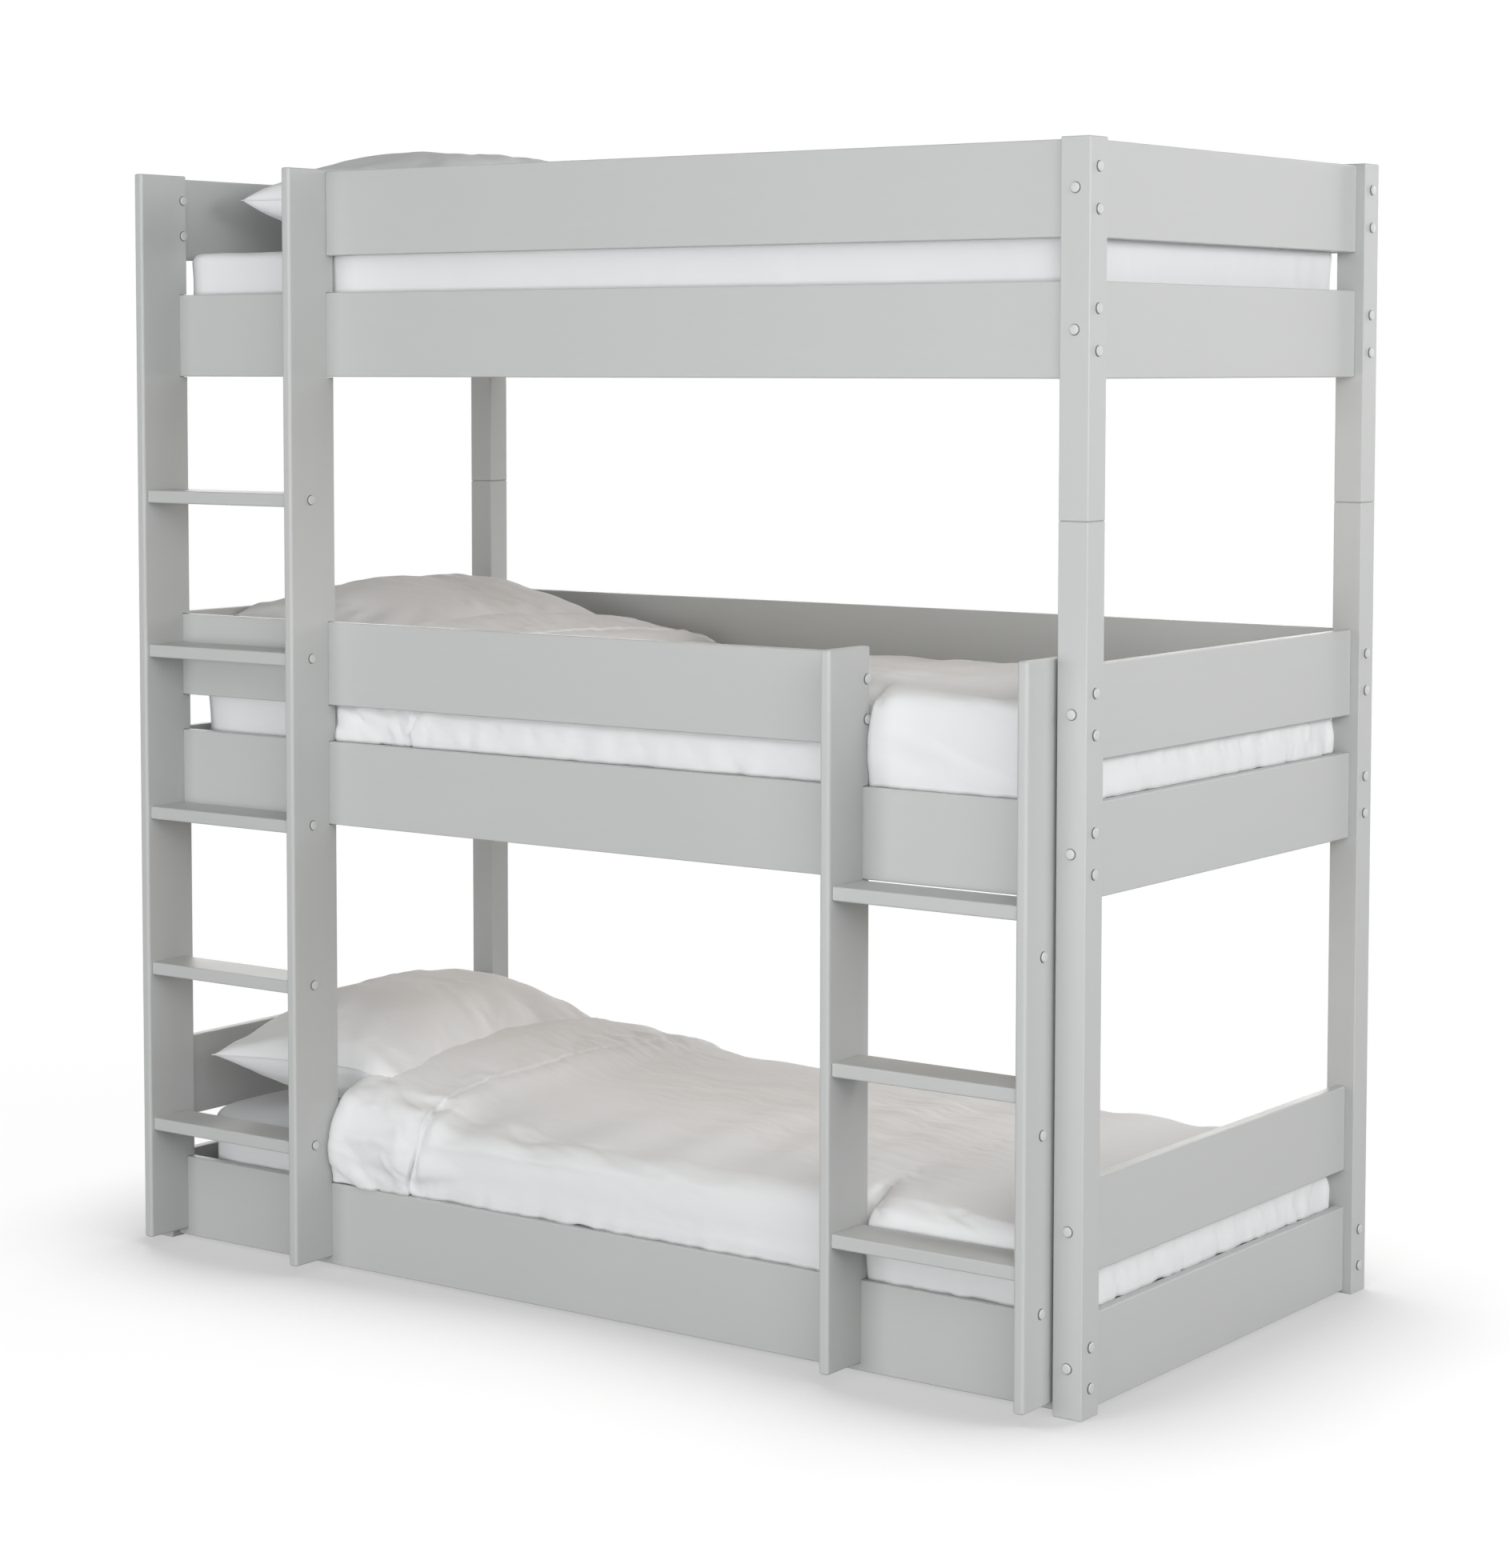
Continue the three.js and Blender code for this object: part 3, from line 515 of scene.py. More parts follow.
def make_pillow(level, material):
    place = pillow_places[level]
    s, t = pillow_grid(pillow_count_s, pillow_count_t)
    upper, lower = pillow_surface(level, s, t, 1), pillow_surface(level, s, t, -1)
    rim = np.minimum(1 - np.abs(s), 1 - np.abs(t))
    crease_up, crease_down = pillow_creases(s, t, place["seed"])
    off_rim = smooth_step(rim, 0.01, 0.14)[:, :, None]
    upper = upper + capped(crease_up, crease_limit) * off_rim
    lower = lower + capped(crease_down, crease_limit) * off_rim
    near_end = smooth_step(np.abs(t), 0.45, 0.86).reshape(-1)
    near_side = smooth_step(np.abs(s), 0.30, 0.80).reshape(-1)
    off_flange = smooth_step(rim.reshape(-1), 0, 0.12)
    for surface, outward, seed in ((upper, 1, place["seed"] + 1), (lower, -1, place["seed"] + 2)):
        flat = surface.reshape(-1, 3)
        normals = grid_normals(surface).reshape(-1, 3) * outward
        amount = 0.0022 * field(flat, (9, 9, 9), seed, 3)
        amount += 0.0014 * field(flat, (30, 14, 30), seed + 5, 2)
        amount += 0.0060 * near_side * field(flat, (4, 15, 4), seed + 9, 2)
        amount += 0.0050 * near_end * field(flat, (17, 5, 4), seed + 13, 2)
        surface += (normals * (amount * off_flange)[:, None]).reshape(surface.shape)
    rim_rows = np.zeros(s.shape, bool)
    rim_rows[[0, -1], :] = True
    rim_rows[:, [0, -1]] = True
    lower[rim_rows] = upper[rim_rows]
    points = np.vstack([upper.reshape(-1, 3), lower.reshape(-1, 3)])
    lean, turn = math.radians(place["lean"]), math.radians(place["turn"])
    x = points[:, 0] * math.cos(lean) + points[:, 2] * math.sin(lean)
    z = -points[:, 0] * math.sin(lean) + points[:, 2] * math.cos(lean)
    turned_x = x * math.cos(turn) - points[:, 1] * math.sin(turn)
    turned_y = x * math.sin(turn) + points[:, 1] * math.cos(turn)
    points = np.stack([turned_x, turned_y, z], axis=1)
    base = mattress_boxes[level][1].z + 0.001
    points += (
        inner_low.x + (place["gap"] + 0.5) * pillow_width,
        middle_y + place["across"] * pillow_margin - pillow_slack[level] / 2,
        base + (0.5 - place["pressed"]) * pillow_thickness[level],
    )
    # Where it lies on the mattress it is pressed flat, with a soft turn at the edge
    soft_turn = 0.010
    height = points[:, 2] - base
    eased = np.clip(height + soft_turn, 0, None) ** 2 / (4 * soft_turn)
    points[:, 2] = base + np.where(height < soft_turn, eased, height)
    upper_numbers = number_grid(*s.shape)
    lower_numbers = np.where(rim_rows, upper_numbers, upper_numbers + s.size)
    faces = grid_faces(upper_numbers, flip=True) + grid_faces(lower_numbers)
    piece = mesh_piece(f"soft_pillow_{level}", points, faces, material)
    subdivided(piece)
    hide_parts(f"pillow_{level}")
    return piece


# Duvets: lofts are heights over the mattress, and lengths along the bed are from the head edge
duvet_sizes = {
    "head_loft": {"middle": 0.109, "bottom": 0.122},
    "body_loft": {"middle": 0.073, "bottom": 0.076},
    "foot_loft": {"middle": 0.064, "bottom": 0.067},
    "fall": {"middle": 0.008, "bottom": 0.040},  # how much lower the head end is at the rear
    "hold": 0.100,  # run of the head's loft, and of its fade to the body's
    "fade": 0.190,
    "bulge": 0.018,  # how far the hem stands out over the rail, and the run up to it
    "band_bulge": 0.022,
    "bulge_run": 0.060,
    "tuck": 0.6,
    "belly": 0.5,
    "band": 0.222,  # width of the turned-back band, whose edge is the seam
    "band_fade": 0.044,
    "band_rise": 0.016,
    "band_blend": 0.018,
    "band_blend_front": 0.085,
    "roll": 0.110,  # radii of the end rolls, in height and in plan
    "plan": 0.062,
    "wave": 0.005,
    "pitch": 0.170,
}
duvet_start, duvet_end = inner_low.x + 0.3815, inner_high.x - 0.0015
duvet_length = duvet_end - duvet_start
duvet_side_clear = 0.0015
hem_clear = 0.0004
duvet_seeds = {"middle": 8, "bottom": 2}
coarse_grid, fine_grid = (150, 104), (272, 188)
# Heights of the details, and the place of the one deep pinch at the short ladder
relief = {
    "seam_gathers": 0.0036,
    "band_fan": 0.0014,
    "band_fan_front": 0.0062,
    "band_lines": 0.0030,
    "drags": 0.0052,
    "fine_lines": 0.0026,
    "lumps": 0.0020,
    "hem_gathers": 0.0046,
    "end_gathers": 0.0040,
    "pinch": 0.022,
}
pinch_x, pinch_run = 0.572, 0.028
duvet_power, band_power, bulge_power = 5, 4, 8
# Seen through the short ladder, the front shoulder is squarer, and on the middle level higher
shoulder_power = {"middle": 8, "bottom": 6.5}
shoulder_lift = {"middle": 0.024, "bottom": 0.0}
shoulder_start, shoulder_full = 0.85, 1.15
rear_loft = 0.89


def duvet_openings(level):
    """Where the hem may swell out over the front and the rear rail, past stiles and posts."""
    clear = 0.0015
    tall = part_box("tall_ladder_stile_foot_side")[1].x + clear
    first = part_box("short_ladder_stile_head_side")
    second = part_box("short_ladder_stile_foot_side")
    posts = (
        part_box("post_rear_head_lower")[1].x + clear,
        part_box("post_rear_foot_lower")[0].x - clear,
    )
    short = (first[1].x + clear, second[0].x - clear)
    if level == "middle":
        return [short], []
    return [(tall, first[0].x - clear), short], [posts]


def rounded_rise(share, power):
    """From 0 to 1 along a quarter of a superellipse."""
    return (1 - (1 - np.clip(share, 0, 1)) ** power) ** (1 / power)


def swelling(x, openings):
    """One inside the openings, with a rounded rise at their ends."""
    result = np.zeros_like(x)
    for start, end in openings:
        share = np.minimum(x - start, end - x) / duvet_sizes["bulge_run"]
        result = np.maximum(result, rounded_rise(share, bulge_power))
    return result


def duvet_surface(level, x, angle):
    """The plain form: sections over stations along the bed, with angle 0 at the front hem."""
    d = duvet_sizes
    hem = rail_top[level] + hem_clear
    from_foot, from_head = duvet_end - x, x - duvet_start
    eased = smooth_step(from_head - d["hold"], 0, d["fade"])
    head, body, foot = d["head_loft"][level], d["body_loft"][level], d["foot_loft"][level]
    fade_end = d["hold"] + d["fade"]
    loft = head + (body - head) * eased
    loft = loft + (foot - body) * np.maximum(from_head - fade_end, 0) / (duvet_length - fade_end)
    wander = 1.3 * np.sin(3.1 * x - 1.9 * np.cos(angle) + d["head_loft"][level] * 40)
    strength = 0.50 + 0.45 * np.sin(4.3 * x + 2.6 * np.cos(angle))
    wave = np.sin(from_head / d["pitch"] * 2 * math.pi + wander)
    loft = loft + wave * d["wave"] * strength * eased
    rear_half = np.maximum(-np.sign(np.cos(angle)) * np.abs(np.cos(angle)) ** 0.5, 0)
    blend_start = d["band"] - d["band_blend"] * rear_half
    blend_end = d["band"] + d["band_blend_front"] * (1 - rear_half)
    loft = loft + d["band_rise"] * (1 - smooth_step(from_head, blend_start, blend_end))
    height = mattress_boxes[level][1].z - hem + loft
    for from_end in (from_foot, from_head):
        height = height * rounded_rise(from_end / d["roll"], duvet_power)
    corner = np.maximum(d["plan"] - from_foot, 0)
    inset = d["plan"] - np.sqrt(np.maximum(d["plan"] ** 2 - corner**2, 0))
    half = (inner_high.y - inner_low.y) / 2 - duvet_side_clear - inset
    front_open, rear_open = duvet_openings(level)
    past_band = smooth_step(from_head, d["band"] - d["band_fade"], d["band"])
    front = (d["bulge"] + d["band_bulge"] * (1 - past_band)) * swelling(x, front_open)
    rear = d["bulge"] * swelling(x, rear_open)
    at_shoulder = smooth_step(from_head, shoulder_start, shoulder_full)
    squarer = (shoulder_power[level] - duvet_power) * at_shoulder
    squareness = duvet_power + squarer * (np.cos(angle) > 0)
    power = 2 / (band_power + (squareness - band_power) * past_band)
    across = -np.sign(np.cos(angle)) * np.abs(np.cos(angle)) ** power
    lift = shoulder_lift[level] * at_shoulder * np.minimum(height / 0.1, 1)
    height = height + lift * (1 - across) / 2
    up = np.abs(np.sin(angle)) ** power
    rearward = np.maximum(across, 0)
    fall = d["fall"][level] * (1 - eased) * rearward**3
    height = height * (1 - (1 - rear_loft) * rearward) - fall
    belly = 1 - (1 - d["tuck"]) * (1 - np.minimum(up / d["belly"], 1)) ** 2
    y = middle_y + across * (half + np.where(across < 0, front, rear) * belly)
    return np.stack([x, y, hem + height * up], axis=2)


def spread_evenly(line, count):
    """Points at even steps along a line of points."""
    steps = np.concatenate([[0], np.cumsum(np.linalg.norm(np.diff(line, axis=0), axis=1))])
    even = np.linspace(0, steps[-1], count)
    return np.stack([np.interp(even, steps, line[:, part]) for part in range(3)], axis=1)


def resampled(grid, rows, columns):
    """The grid with other counts of rows and columns."""
    result = grid
    for axis, count in ((0, rows), (1, columns)):
        moved = np.moveaxis(result, axis, 0)
        place = np.linspace(0, len(moved) - 1, count)
        low = np.floor(place).astype(int).clip(0, len(moved) - 2)
        share = (place - low)[:, None, None]
        result = np.moveaxis(moved[low] * (1 - share) + moved[low + 1] * share, 0, axis)
    return result


def duvet_grid(level, rows, columns):
    """The plain form as a grid: rows along the bed, columns from the front hem to the rear one."""
    roll, length = duvet_sizes["roll"], duvet_length
    seam_rows, seam_run = 3.5, 0.030
    # Both end rolls are stepped evenly in height, so that each reaches down to its hem
    turn = roll * (1 - (1 - np.linspace(0, 1, 2 * rows) ** duvet_power) ** (1 / duvet_power))
    flat_part = np.linspace(roll, length - roll, 3 * rows)[1:-1]
    stations = duvet_start + np.concatenate([turn, flat_part, length - turn[::-1]])
    dense_rows = len(stations)
    x, angle = np.meshgrid(stations, np.linspace(0, math.pi, 6 * columns), indexing="ij")
    grid = np.array([spread_evenly(line, columns) for line in duvet_surface(level, x, angle)])
    # Rows follow the length over the top, and are closer together round the band's seam
    middle = grid[:, columns // 2]
    from_seam = middle[1:, 0] - duvet_start - duvet_sizes["band"]
    crowding = 1 + seam_rows * np.exp(-((from_seam / seam_run) ** 2))
    steps = np.linalg.norm(np.diff(middle, axis=0), axis=1) * crowding
    steps = np.concatenate([[0], np.cumsum(steps)])
    place = np.interp(np.linspace(0, steps[-1], rows), steps, np.arange(dense_rows))
    low = np.floor(place).astype(int).clip(0, dense_rows - 2)
    part = (place - low)[:, None, None]
    return grid[low] * (1 - part) + grid[low + 1] * part


def duvet_creases(level, rows, columns):
    """Creases of a cover cut larger round its girth than the filling: they run along the bed."""
    grid = duvet_grid(level, rows, columns)
    flat = grid.reshape(-1, 3)
    ripple, cut, smoothing = 0.0015, (1.006, 1.022, 1.022), 50
    normals = grid_normals(grid).reshape(-1, 3)
    start = flat + normals * (ripple * field(flat, (9, 24, 24), 4))[:, None]
    centre = (0, middle_y, rail_top[level])
    index = number_grid(rows, columns)
    rims = (index[:2], index[-2:], index[:, :2], index[:, -2:])
    moved = simulate(
        f"duvet_cloth_{level}",
        start,
        grid_faces(index),
        frames=22,
        pressure=1.5,
        stiffness=10.0,
        bending=0.3,
        held=np.concatenate([rim.ravel() for rim in rims]),
        rest=(flat - centre) * cut + centre,
    )
    moves = (moved - flat).reshape(grid.shape)
    return moves - relaxed(moves, smoothing)


def duvet_details(level, grid, normals):
    """How far each point stands off the plain form: seam, puckers, drags, gathers."""
    d = duvet_sizes
    shape = grid.shape[:2]
    seed = duvet_seeds[level]
    flat = grid.reshape(-1, 3)
    x, y, z = flat.T
    from_head = x - duvet_start
    from_foot = duvet_end - x
    height = z - rail_top[level]
    front = np.clip(-normals[:, :, 1], 0, 1).reshape(-1)
    top = np.clip(normals[:, :, 2], 0, 1).reshape(-1)
    shoulder = 4 * (front * top) ** 2
    girth = np.cumsum(np.linalg.norm(np.diff(grid, axis=1, prepend=grid[:, :1]), axis=2), axis=1)
    girth = girth.mean(axis=0, keepdims=True).repeat(shape[0], axis=0).reshape(-1)
    none = np.zeros_like(x)

    def at(*columns):
        return np.stack([c if isinstance(c, np.ndarray) else none + c for c in columns], axis=1)

    rearward = smooth_step(y, inner_low.y + 0.15, inner_high.y)
    lean = 0.030 * front * (1 - smooth_step(height, 0.0, 0.12))
    seam = from_head - d["band"] + lean + 0.005 * field(at(girth, 0, 0), (5, 1, 1), seed)
    pucker = 1 + 0.9 * field(at(girth, 0, 0), (34, 1, 1), seed + 9, 2)
    depth = (0.0012 + 0.0030 * (1 - rearward) + 0.0065 * front) * np.clip(pucker, 0.2, 1.8)
    edge = np.where(seam < 0, 0.4 * np.exp(seam / 0.012), -np.exp(-seam / 0.006))
    swell = 0.5 * np.exp(-(((seam - 0.024) / 0.013) ** 2))
    amount = depth * (edge + swell * (1 - 0.7 * rearward))
    near_seam = np.exp(-np.abs(seam) / 0.042) * (1 - 0.6 * rearward)
    gathers = field(at(girth, seam, 0), (46, 7, 1), seed + 1, 2)
    amount += relief["seam_gathers"] * gathers * near_seam
    on_band = smooth_step(d["band"] - from_head, -0.01, 0.03) * smooth_step(from_head, 0.0, 0.05)
    fan = field(at(girth + 0.6 * from_head, from_head - 0.5 * girth, 0), (19, 7, 1), seed + 2, 3)
    amount += (relief["band_fan"] + relief["band_fan_front"] * front) * fan * on_band
    lines = np.exp(-((fan / 0.09) ** 2))
    amount -= relief["band_lines"] * lines * on_band * (0.25 + front)
    turned = at(x * 0.97 - girth * 0.24, girth * 0.97 + x * 0.24, 0)
    drags = field(turned, (5.5, 34, 1), seed + 3, 3)
    patches = np.clip(0.55 + 1.3 * field(turned, (4, 6, 1), seed + 4, 1), 0.1, 1.3)
    bent = (0.16 + 0.9 * shoulder) * (1 - on_band)
    amount += relief["drags"] * drags * patches * bent
    fine = np.exp(-((field(turned, (4.5, 26, 1), seed + 11, 2) / 0.07) ** 2))
    amount -= relief["fine_lines"] * fine * patches * (0.4 + shoulder) * (1 - on_band)
    lumps = field(flat, (4, 4, 4), seed + 5, 2)
    amount += relief["lumps"] * lumps * smooth_step(height, 0.03, 0.10)
    gathers = field(at(x, y, height), (34, 34, 7), seed + 6, 2)
    amount += relief["hem_gathers"] * gathers * np.exp(-np.maximum(height, 0) / 0.026)
    gathers = field(at(y, height, 0), (30, 9, 1), seed + 7, 2)
    amount += relief["end_gathers"] * gathers * np.exp(-np.minimum(from_foot, 0.2) / 0.03)
    along = np.exp(-(((x - pinch_x) / pinch_run) ** 2))
    around = np.clip(shoulder + 0.35 * front * smooth_step(height, 0.05, 0.12), 0, 1)
    amount -= relief["pinch"] * along * around
    return amount.reshape(shape)


def gap_bulge(level, flat, seed):
    """Moves that press the cloth a little out through the gaps between the rails and the guards."""
    out_foot, out_front = 0.006, 0.0105
    fade_start, fade_end = 0.020, 0.004  # depths inside the boards between which it sets in
    post_start, post_clear = 0.016, 0.030
    stile_clear = 0.002
    x, y, z = flat.T
    low, high = rail_top[level], guard_top[level] - board_height
    inside = rounded_rise(np.minimum(z - low + 0.004, high - z - 0.001) / 0.014, 2)
    slanted = np.stack([x + z * 0.5, y + z * 0.5, z * 0.3], axis=1)
    ripple = 1 + 0.35 * field(slanted, (26, 26, 26), seed + 21, 2)
    moves = np.zeros_like(flat)
    off_posts = smooth_step(y, inner_low.y + post_start, inner_low.y + post_clear)
    off_posts *= smooth_step(-y, -inner_high.y + post_start, -inner_high.y + post_clear)
    at_foot = smooth_step(x, inner_high.x - fade_start, inner_high.x - fade_end)
    moves[:, 0] = out_foot * inside * at_foot * off_posts * ripple
    if level == "middle":
        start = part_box("tall_ladder_stile_foot_side")[1].x + stile_clear
        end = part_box("short_ladder_stile_head_side")[0].x - stile_clear
        between = rounded_rise(np.minimum(x - start, end - x) / 0.008, 2)
        at_front = smooth_step(-y, -inner_low.y - fade_start, -inner_low.y - fade_end)
        moves[:, 1] = -out_front * inside * between * at_front * ripple
    return moves


def make_duvet(level, material):
    """One duvet: an outer skin with its creases and details, and an inner one over the mattress."""
    rows, columns = fine_grid
    seed, crease_height, board_clear = duvet_seeds[level], 0.005, 0.001
    grid = duvet_grid(level, rows, columns)
    normals = grid_normals(grid)
    flip = normals[rows // 2, columns // 2, 2] < 0
    if flip:
        normals = -normals
    amount = duvet_details(level, grid, normals)
    creases = resampled(duvet_creases(level, *coarse_grid), rows, columns)
    top = np.clip(normals[:, :, 2:], 0, 1)
    off_hem = smooth_step(grid[:, :, 2:] - rail_top[level], 0.004, 0.050)
    grid = grid + capped(relaxed(creases, 2), crease_height) * (1 - 0.5 * top) * off_hem
    flat = (grid + normals * amount[:, :, None]).reshape(-1, 3)
    # Where stiles, posts or guards stand, the cloth keeps inside the boards
    front_open, rear_open = duvet_openings(level)
    bound_front = swelling(flat[:, 0], front_open) <= 0.05
    bound_rear = swelling(flat[:, 0], rear_open) <= 0.05
    y = flat[:, 1]
    y = np.where(bound_front, np.maximum(y, inner_low.y + board_clear), y)
    flat[:, 1] = np.where(bound_rear, np.minimum(y, inner_high.y - board_clear), y)
    flat[:, 0] = np.minimum(flat[:, 0], inner_high.x - board_clear)
    flat += gap_bulge(level, flat, seed)
    loose = 0.012 if level == "bottom" else 0.0
    lift = 0.0001 + loose * np.clip(field(flat, (9, 9, 1), seed + 6, 2) - 0.34, 0, 0.3)
    flat[:, 2] = np.maximum(flat[:, 2], rail_top[level] + lift)
    outer = flat.reshape(rows, columns, 3)
    # The inner side follows the mattress, a little clear of it
    slab_low, slab_high = mattress_boxes[level]
    inner = outer.copy()
    inner[:, :, 0] = np.clip(inner[:, :, 0] - 0.004, inner_low.x + 0.39, slab_high.x + 0.003)
    inner[:, :, 1] = np.clip(inner[:, :, 1], slab_low.y - 0.0025, slab_high.y + 0.0025)
    inner[:, :, 2] = np.minimum(inner[:, :, 2] - 0.002, slab_high.z + 0.0015)
    inner[:, [0, -1]] = outer[:, [0, -1]]
    points = np.vstack([outer.reshape(-1, 3), inner.reshape(-1, 3)])
    outer_numbers = number_grid(rows, columns)
    inner_numbers = outer_numbers + rows * columns
    inner_numbers[:, [0, -1]] = outer_numbers[:, [0, -1]]
    faces = grid_faces(outer_numbers, not flip) + grid_faces(inner_numbers, flip)
    faces += grid_faces(np.stack([outer_numbers[0], inner_numbers[0]]), flip)
    faces += grid_faces(np.stack([outer_numbers[-1], inner_numbers[-1]]), not flip)
    piece = mesh_piece(f"soft_duvet_{level}", points, faces, material)
    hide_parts(f"duvet_{level}")
    return piece


# Mattresses in fitted sheets
mattress_plan_radius, mattress_edge_radius, mattress_crown = 0.060, 0.018, 0.004
mattress_head_radius = {"top": 0.068, "middle": 0.125, "bottom": 0.140}
mattress_side_draw = 0.003
mattress_clear = 0.0015
mattress_counts = (161, 81)


def rounded_sheet(half_x, half_y, radius, head_radius):
    """A grid over a rectangle with round corners, and the outward direction at each point."""
    count_x, count_y = mattress_counts
    across_x = np.linspace(-half_x, half_x, count_x)
    across_y = np.linspace(-half_y, half_y, count_y)
    x, y = np.meshgrid(across_x, across_y, indexing="ij")
    radius = np.where((x < 0) & (y < 0), head_radius, radius)
    core_x = np.clip(x, radius - half_x, half_x - radius)
    core_y = np.clip(y, radius - half_y, half_y - radius)
    core = np.stack([core_x, core_y], 2)
    out = np.stack([x, y], 2) - core
    length = np.linalg.norm(out, axis=2, keepdims=True)
    widest = np.abs(out).max(axis=2, keepdims=True)
    away = out / np.maximum(length, 1e-9)
    flat = core + away * widest
    inside = np.minimum(half_x - np.abs(x), half_y - np.abs(y))
    return flat, away, inside


def mattress_profile(low_z, high_z):
    """A side's section from top to bottom: how far out from the top's rim, and how high."""
    corner_steps, side_steps = 6, 16
    edge = mattress_edge_radius
    profile = []
    for step in range(1, corner_steps + 1):
        angle = step / corner_steps * math.pi / 2
        profile.append((edge * math.sin(angle), high_z - edge * (1 - math.cos(angle))))
    side_top, side_low = profile[-1][1], low_z + edge
    for step in range(1, side_steps):
        share = step / side_steps
        out = edge - mattress_side_draw * math.sin(share * math.pi)
        profile.append((out, side_top + (side_low - side_top) * share))
    for step in range(corner_steps):
        angle = step / corner_steps * math.pi / 2
        profile.append((edge * math.cos(angle), low_z + edge * (1 - math.sin(angle))))
    return profile


def make_mattress(level, material):
    """One mattress: a top with a slight crown, round edges and sides that the sheet draws in."""
    low, high = mattress_boxes[level]
    half, centre = (high - low) / 2, (low + high) / 2
    edge_radius, crown = mattress_edge_radius, mattress_crown
    flat, away, inside = rounded_sheet(
        half.x - edge_radius,
        half.y - edge_radius,
        mattress_plan_radius - edge_radius,
        mattress_head_radius[level] - edge_radius,
    )
    index = number_grid(*mattress_counts)
    rim = np.concatenate([index[:-1, 0], index[-1, :-1], index[:0:-1, -1], index[0, :0:-1]])
    rim_flat, rim_away = flat.reshape(-1, 2)[rim], away.reshape(-1, 2)[rim]
    top_z = high.z - crown * (1 - smooth_step(inside, 0, 0.16))
    top = np.dstack([flat + (centre.x, centre.y), top_z]).reshape(-1, 3)
    sides = []
    for out, z in mattress_profile(low.z, high.z - crown):
        loop = rim_flat + rim_away * out + (centre.x, centre.y)
        sides.append(np.column_stack([loop, np.full(len(rim), z)]))
    under = np.dstack([flat + (centre.x, centre.y), np.full(top_z.shape, low.z)]).reshape(-1, 3)
    seed = 31 + levels.index(level)
    on_long_side = np.abs(rim_away[:, 1]) > 0.7
    run = np.where(on_long_side, half.x - np.abs(rim_flat[:, 0]), half.y - np.abs(rim_flat[:, 1]))
    pull = 0.0008 + 0.0030 * np.exp(-run / 0.10)
    for loop in sides:
        drop = smooth_step(high.z - crown - loop[:, 2], 0.0, 0.02)
        amount = field(loop, (40, 40, 6), seed, 2) * pull
        amount += 0.0012 * field(loop, (7, 7, 7), seed + 1, 2)
        loop[:, :2] += rim_away * (amount * drop)[:, None]
        loop[:, 1] = loop[:, 1].clip(inner_low.y + mattress_clear, inner_high.y - mattress_clear)
        loop[:, 2] += 0.0010 * field(loop, (9, 9, 9), seed + 2, 3) * (1 - drop)
    off_rim = smooth_step(inside, 0, 0.06).reshape(-1)
    top[:, 2] += 0.0010 * field(top, (9, 9, 9), seed + 2, 3)
    top[:, 2] += 0.0010 * off_rim * field(top, (16, 5, 9), seed + 4, 2)
    points = np.vstack([top, *sides, under])
    under_start = len(points) - len(under)
    loops = [rim] + [len(top) + step * len(rim) + np.arange(len(rim)) for step in range(len(sides))]
    loops.append(rim + under_start)
    faces = grid_faces(index, flip=True) + grid_faces(index + under_start)
    faces += grid_faces(np.array(loops), flip=True, wrap=True)
    piece = mesh_piece(f"soft_mattress_{level}", points, faces, material)
    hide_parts(f"mattress_{level}")
    return piece


# Bolt caps: low domes, each seated on the face that it covers, over a thin near-black ring, a
# painted shadow.
# The sections are shares of the cap's radius, and of its height; the ring's heights are in metres.
cap_radius, cap_height, cap_sides = 0.0080, 0.0036, 20
cap_section = [(0.72, 0.0), (0.72, 0.30), (0.97, 0.34), (1.0, 0.48)]
cap_section += [(0.97, 0.74), (0.90, 0.90), (0.76, 0.98), (0.4, 1.0)]
shadow_ring_section = [(1.14, 0.0), (1.12, 0.0004), (0.80, 0.0004), (0.80, 0.0)]
cap_pair = 0.032  # half the distance between the two caps of a board
short_tread_caps = [0.165, 0.442, 0.717]
tread_cap_y, guard_cap_y = -0.479, -0.425


def revolved(centre, outward, section):
    """Points of a section of radii and heights, turned round a line out of the face."""
    normal = Vector(outward)
    first = normal.orthogonal().normalized()
    second = normal.cross(first)
    points = []
    for radius, height in section:
        for step in range(cap_sides):
            angle = step / cap_sides * 2 * math.pi
            spoke = first * math.cos(angle) + second * math.sin(angle)
            points.append(Vector(centre) + spoke * radius * cap_radius + normal * height)
    return points


def cap_mesh(centre, outward):
    """Points and faces of one cap."""
    section = [(radius, share * cap_height) for radius, share in cap_section]
    points = revolved(centre, outward, section)
    points += [Vector(centre) + Vector(outward) * cap_height, Vector(centre)]
    faces = grid_faces(number_grid(len(cap_section), cap_sides), wrap=True)
    top = (len(cap_section) - 1) * cap_sides
    for step in range(cap_sides):
        after = (step + 1) % cap_sides
        faces.append([top + step, top + after, len(points) - 2])
        faces.append([after, step, len(points) - 1])
    return points, faces


def shadow_ring_mesh(centre, outward):
    """Points and faces of the thin near-black ring round a cap, a painted shadow between cap and
    board.
    """
    faces = grid_faces(number_grid(len(shadow_ring_section), cap_sides), wrap=True)
    return revolved(centre, outward, shadow_ring_section), faces


def make_caps(name, places, paint, shade):
    """The caps of one post or stile as one piece, and their painted shadow rings as another."""
    # The rims pieces are near-black rings: painted shadow round each cap.
    for kind, build, material in (("caps", cap_mesh, paint), ("rims", shadow_ring_mesh, shade)):
        points, faces = [], []
        for centre, outward in places:
            more, more_faces = build(centre, outward)
            faces += [[i + len(points) for i in face] for face in more_faces]
            points += more
        mesh_piece(f"{kind}_{name}", points, faces, material)


def height_of(node):
    low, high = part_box(node)
    return (low.z + high.z) / 2


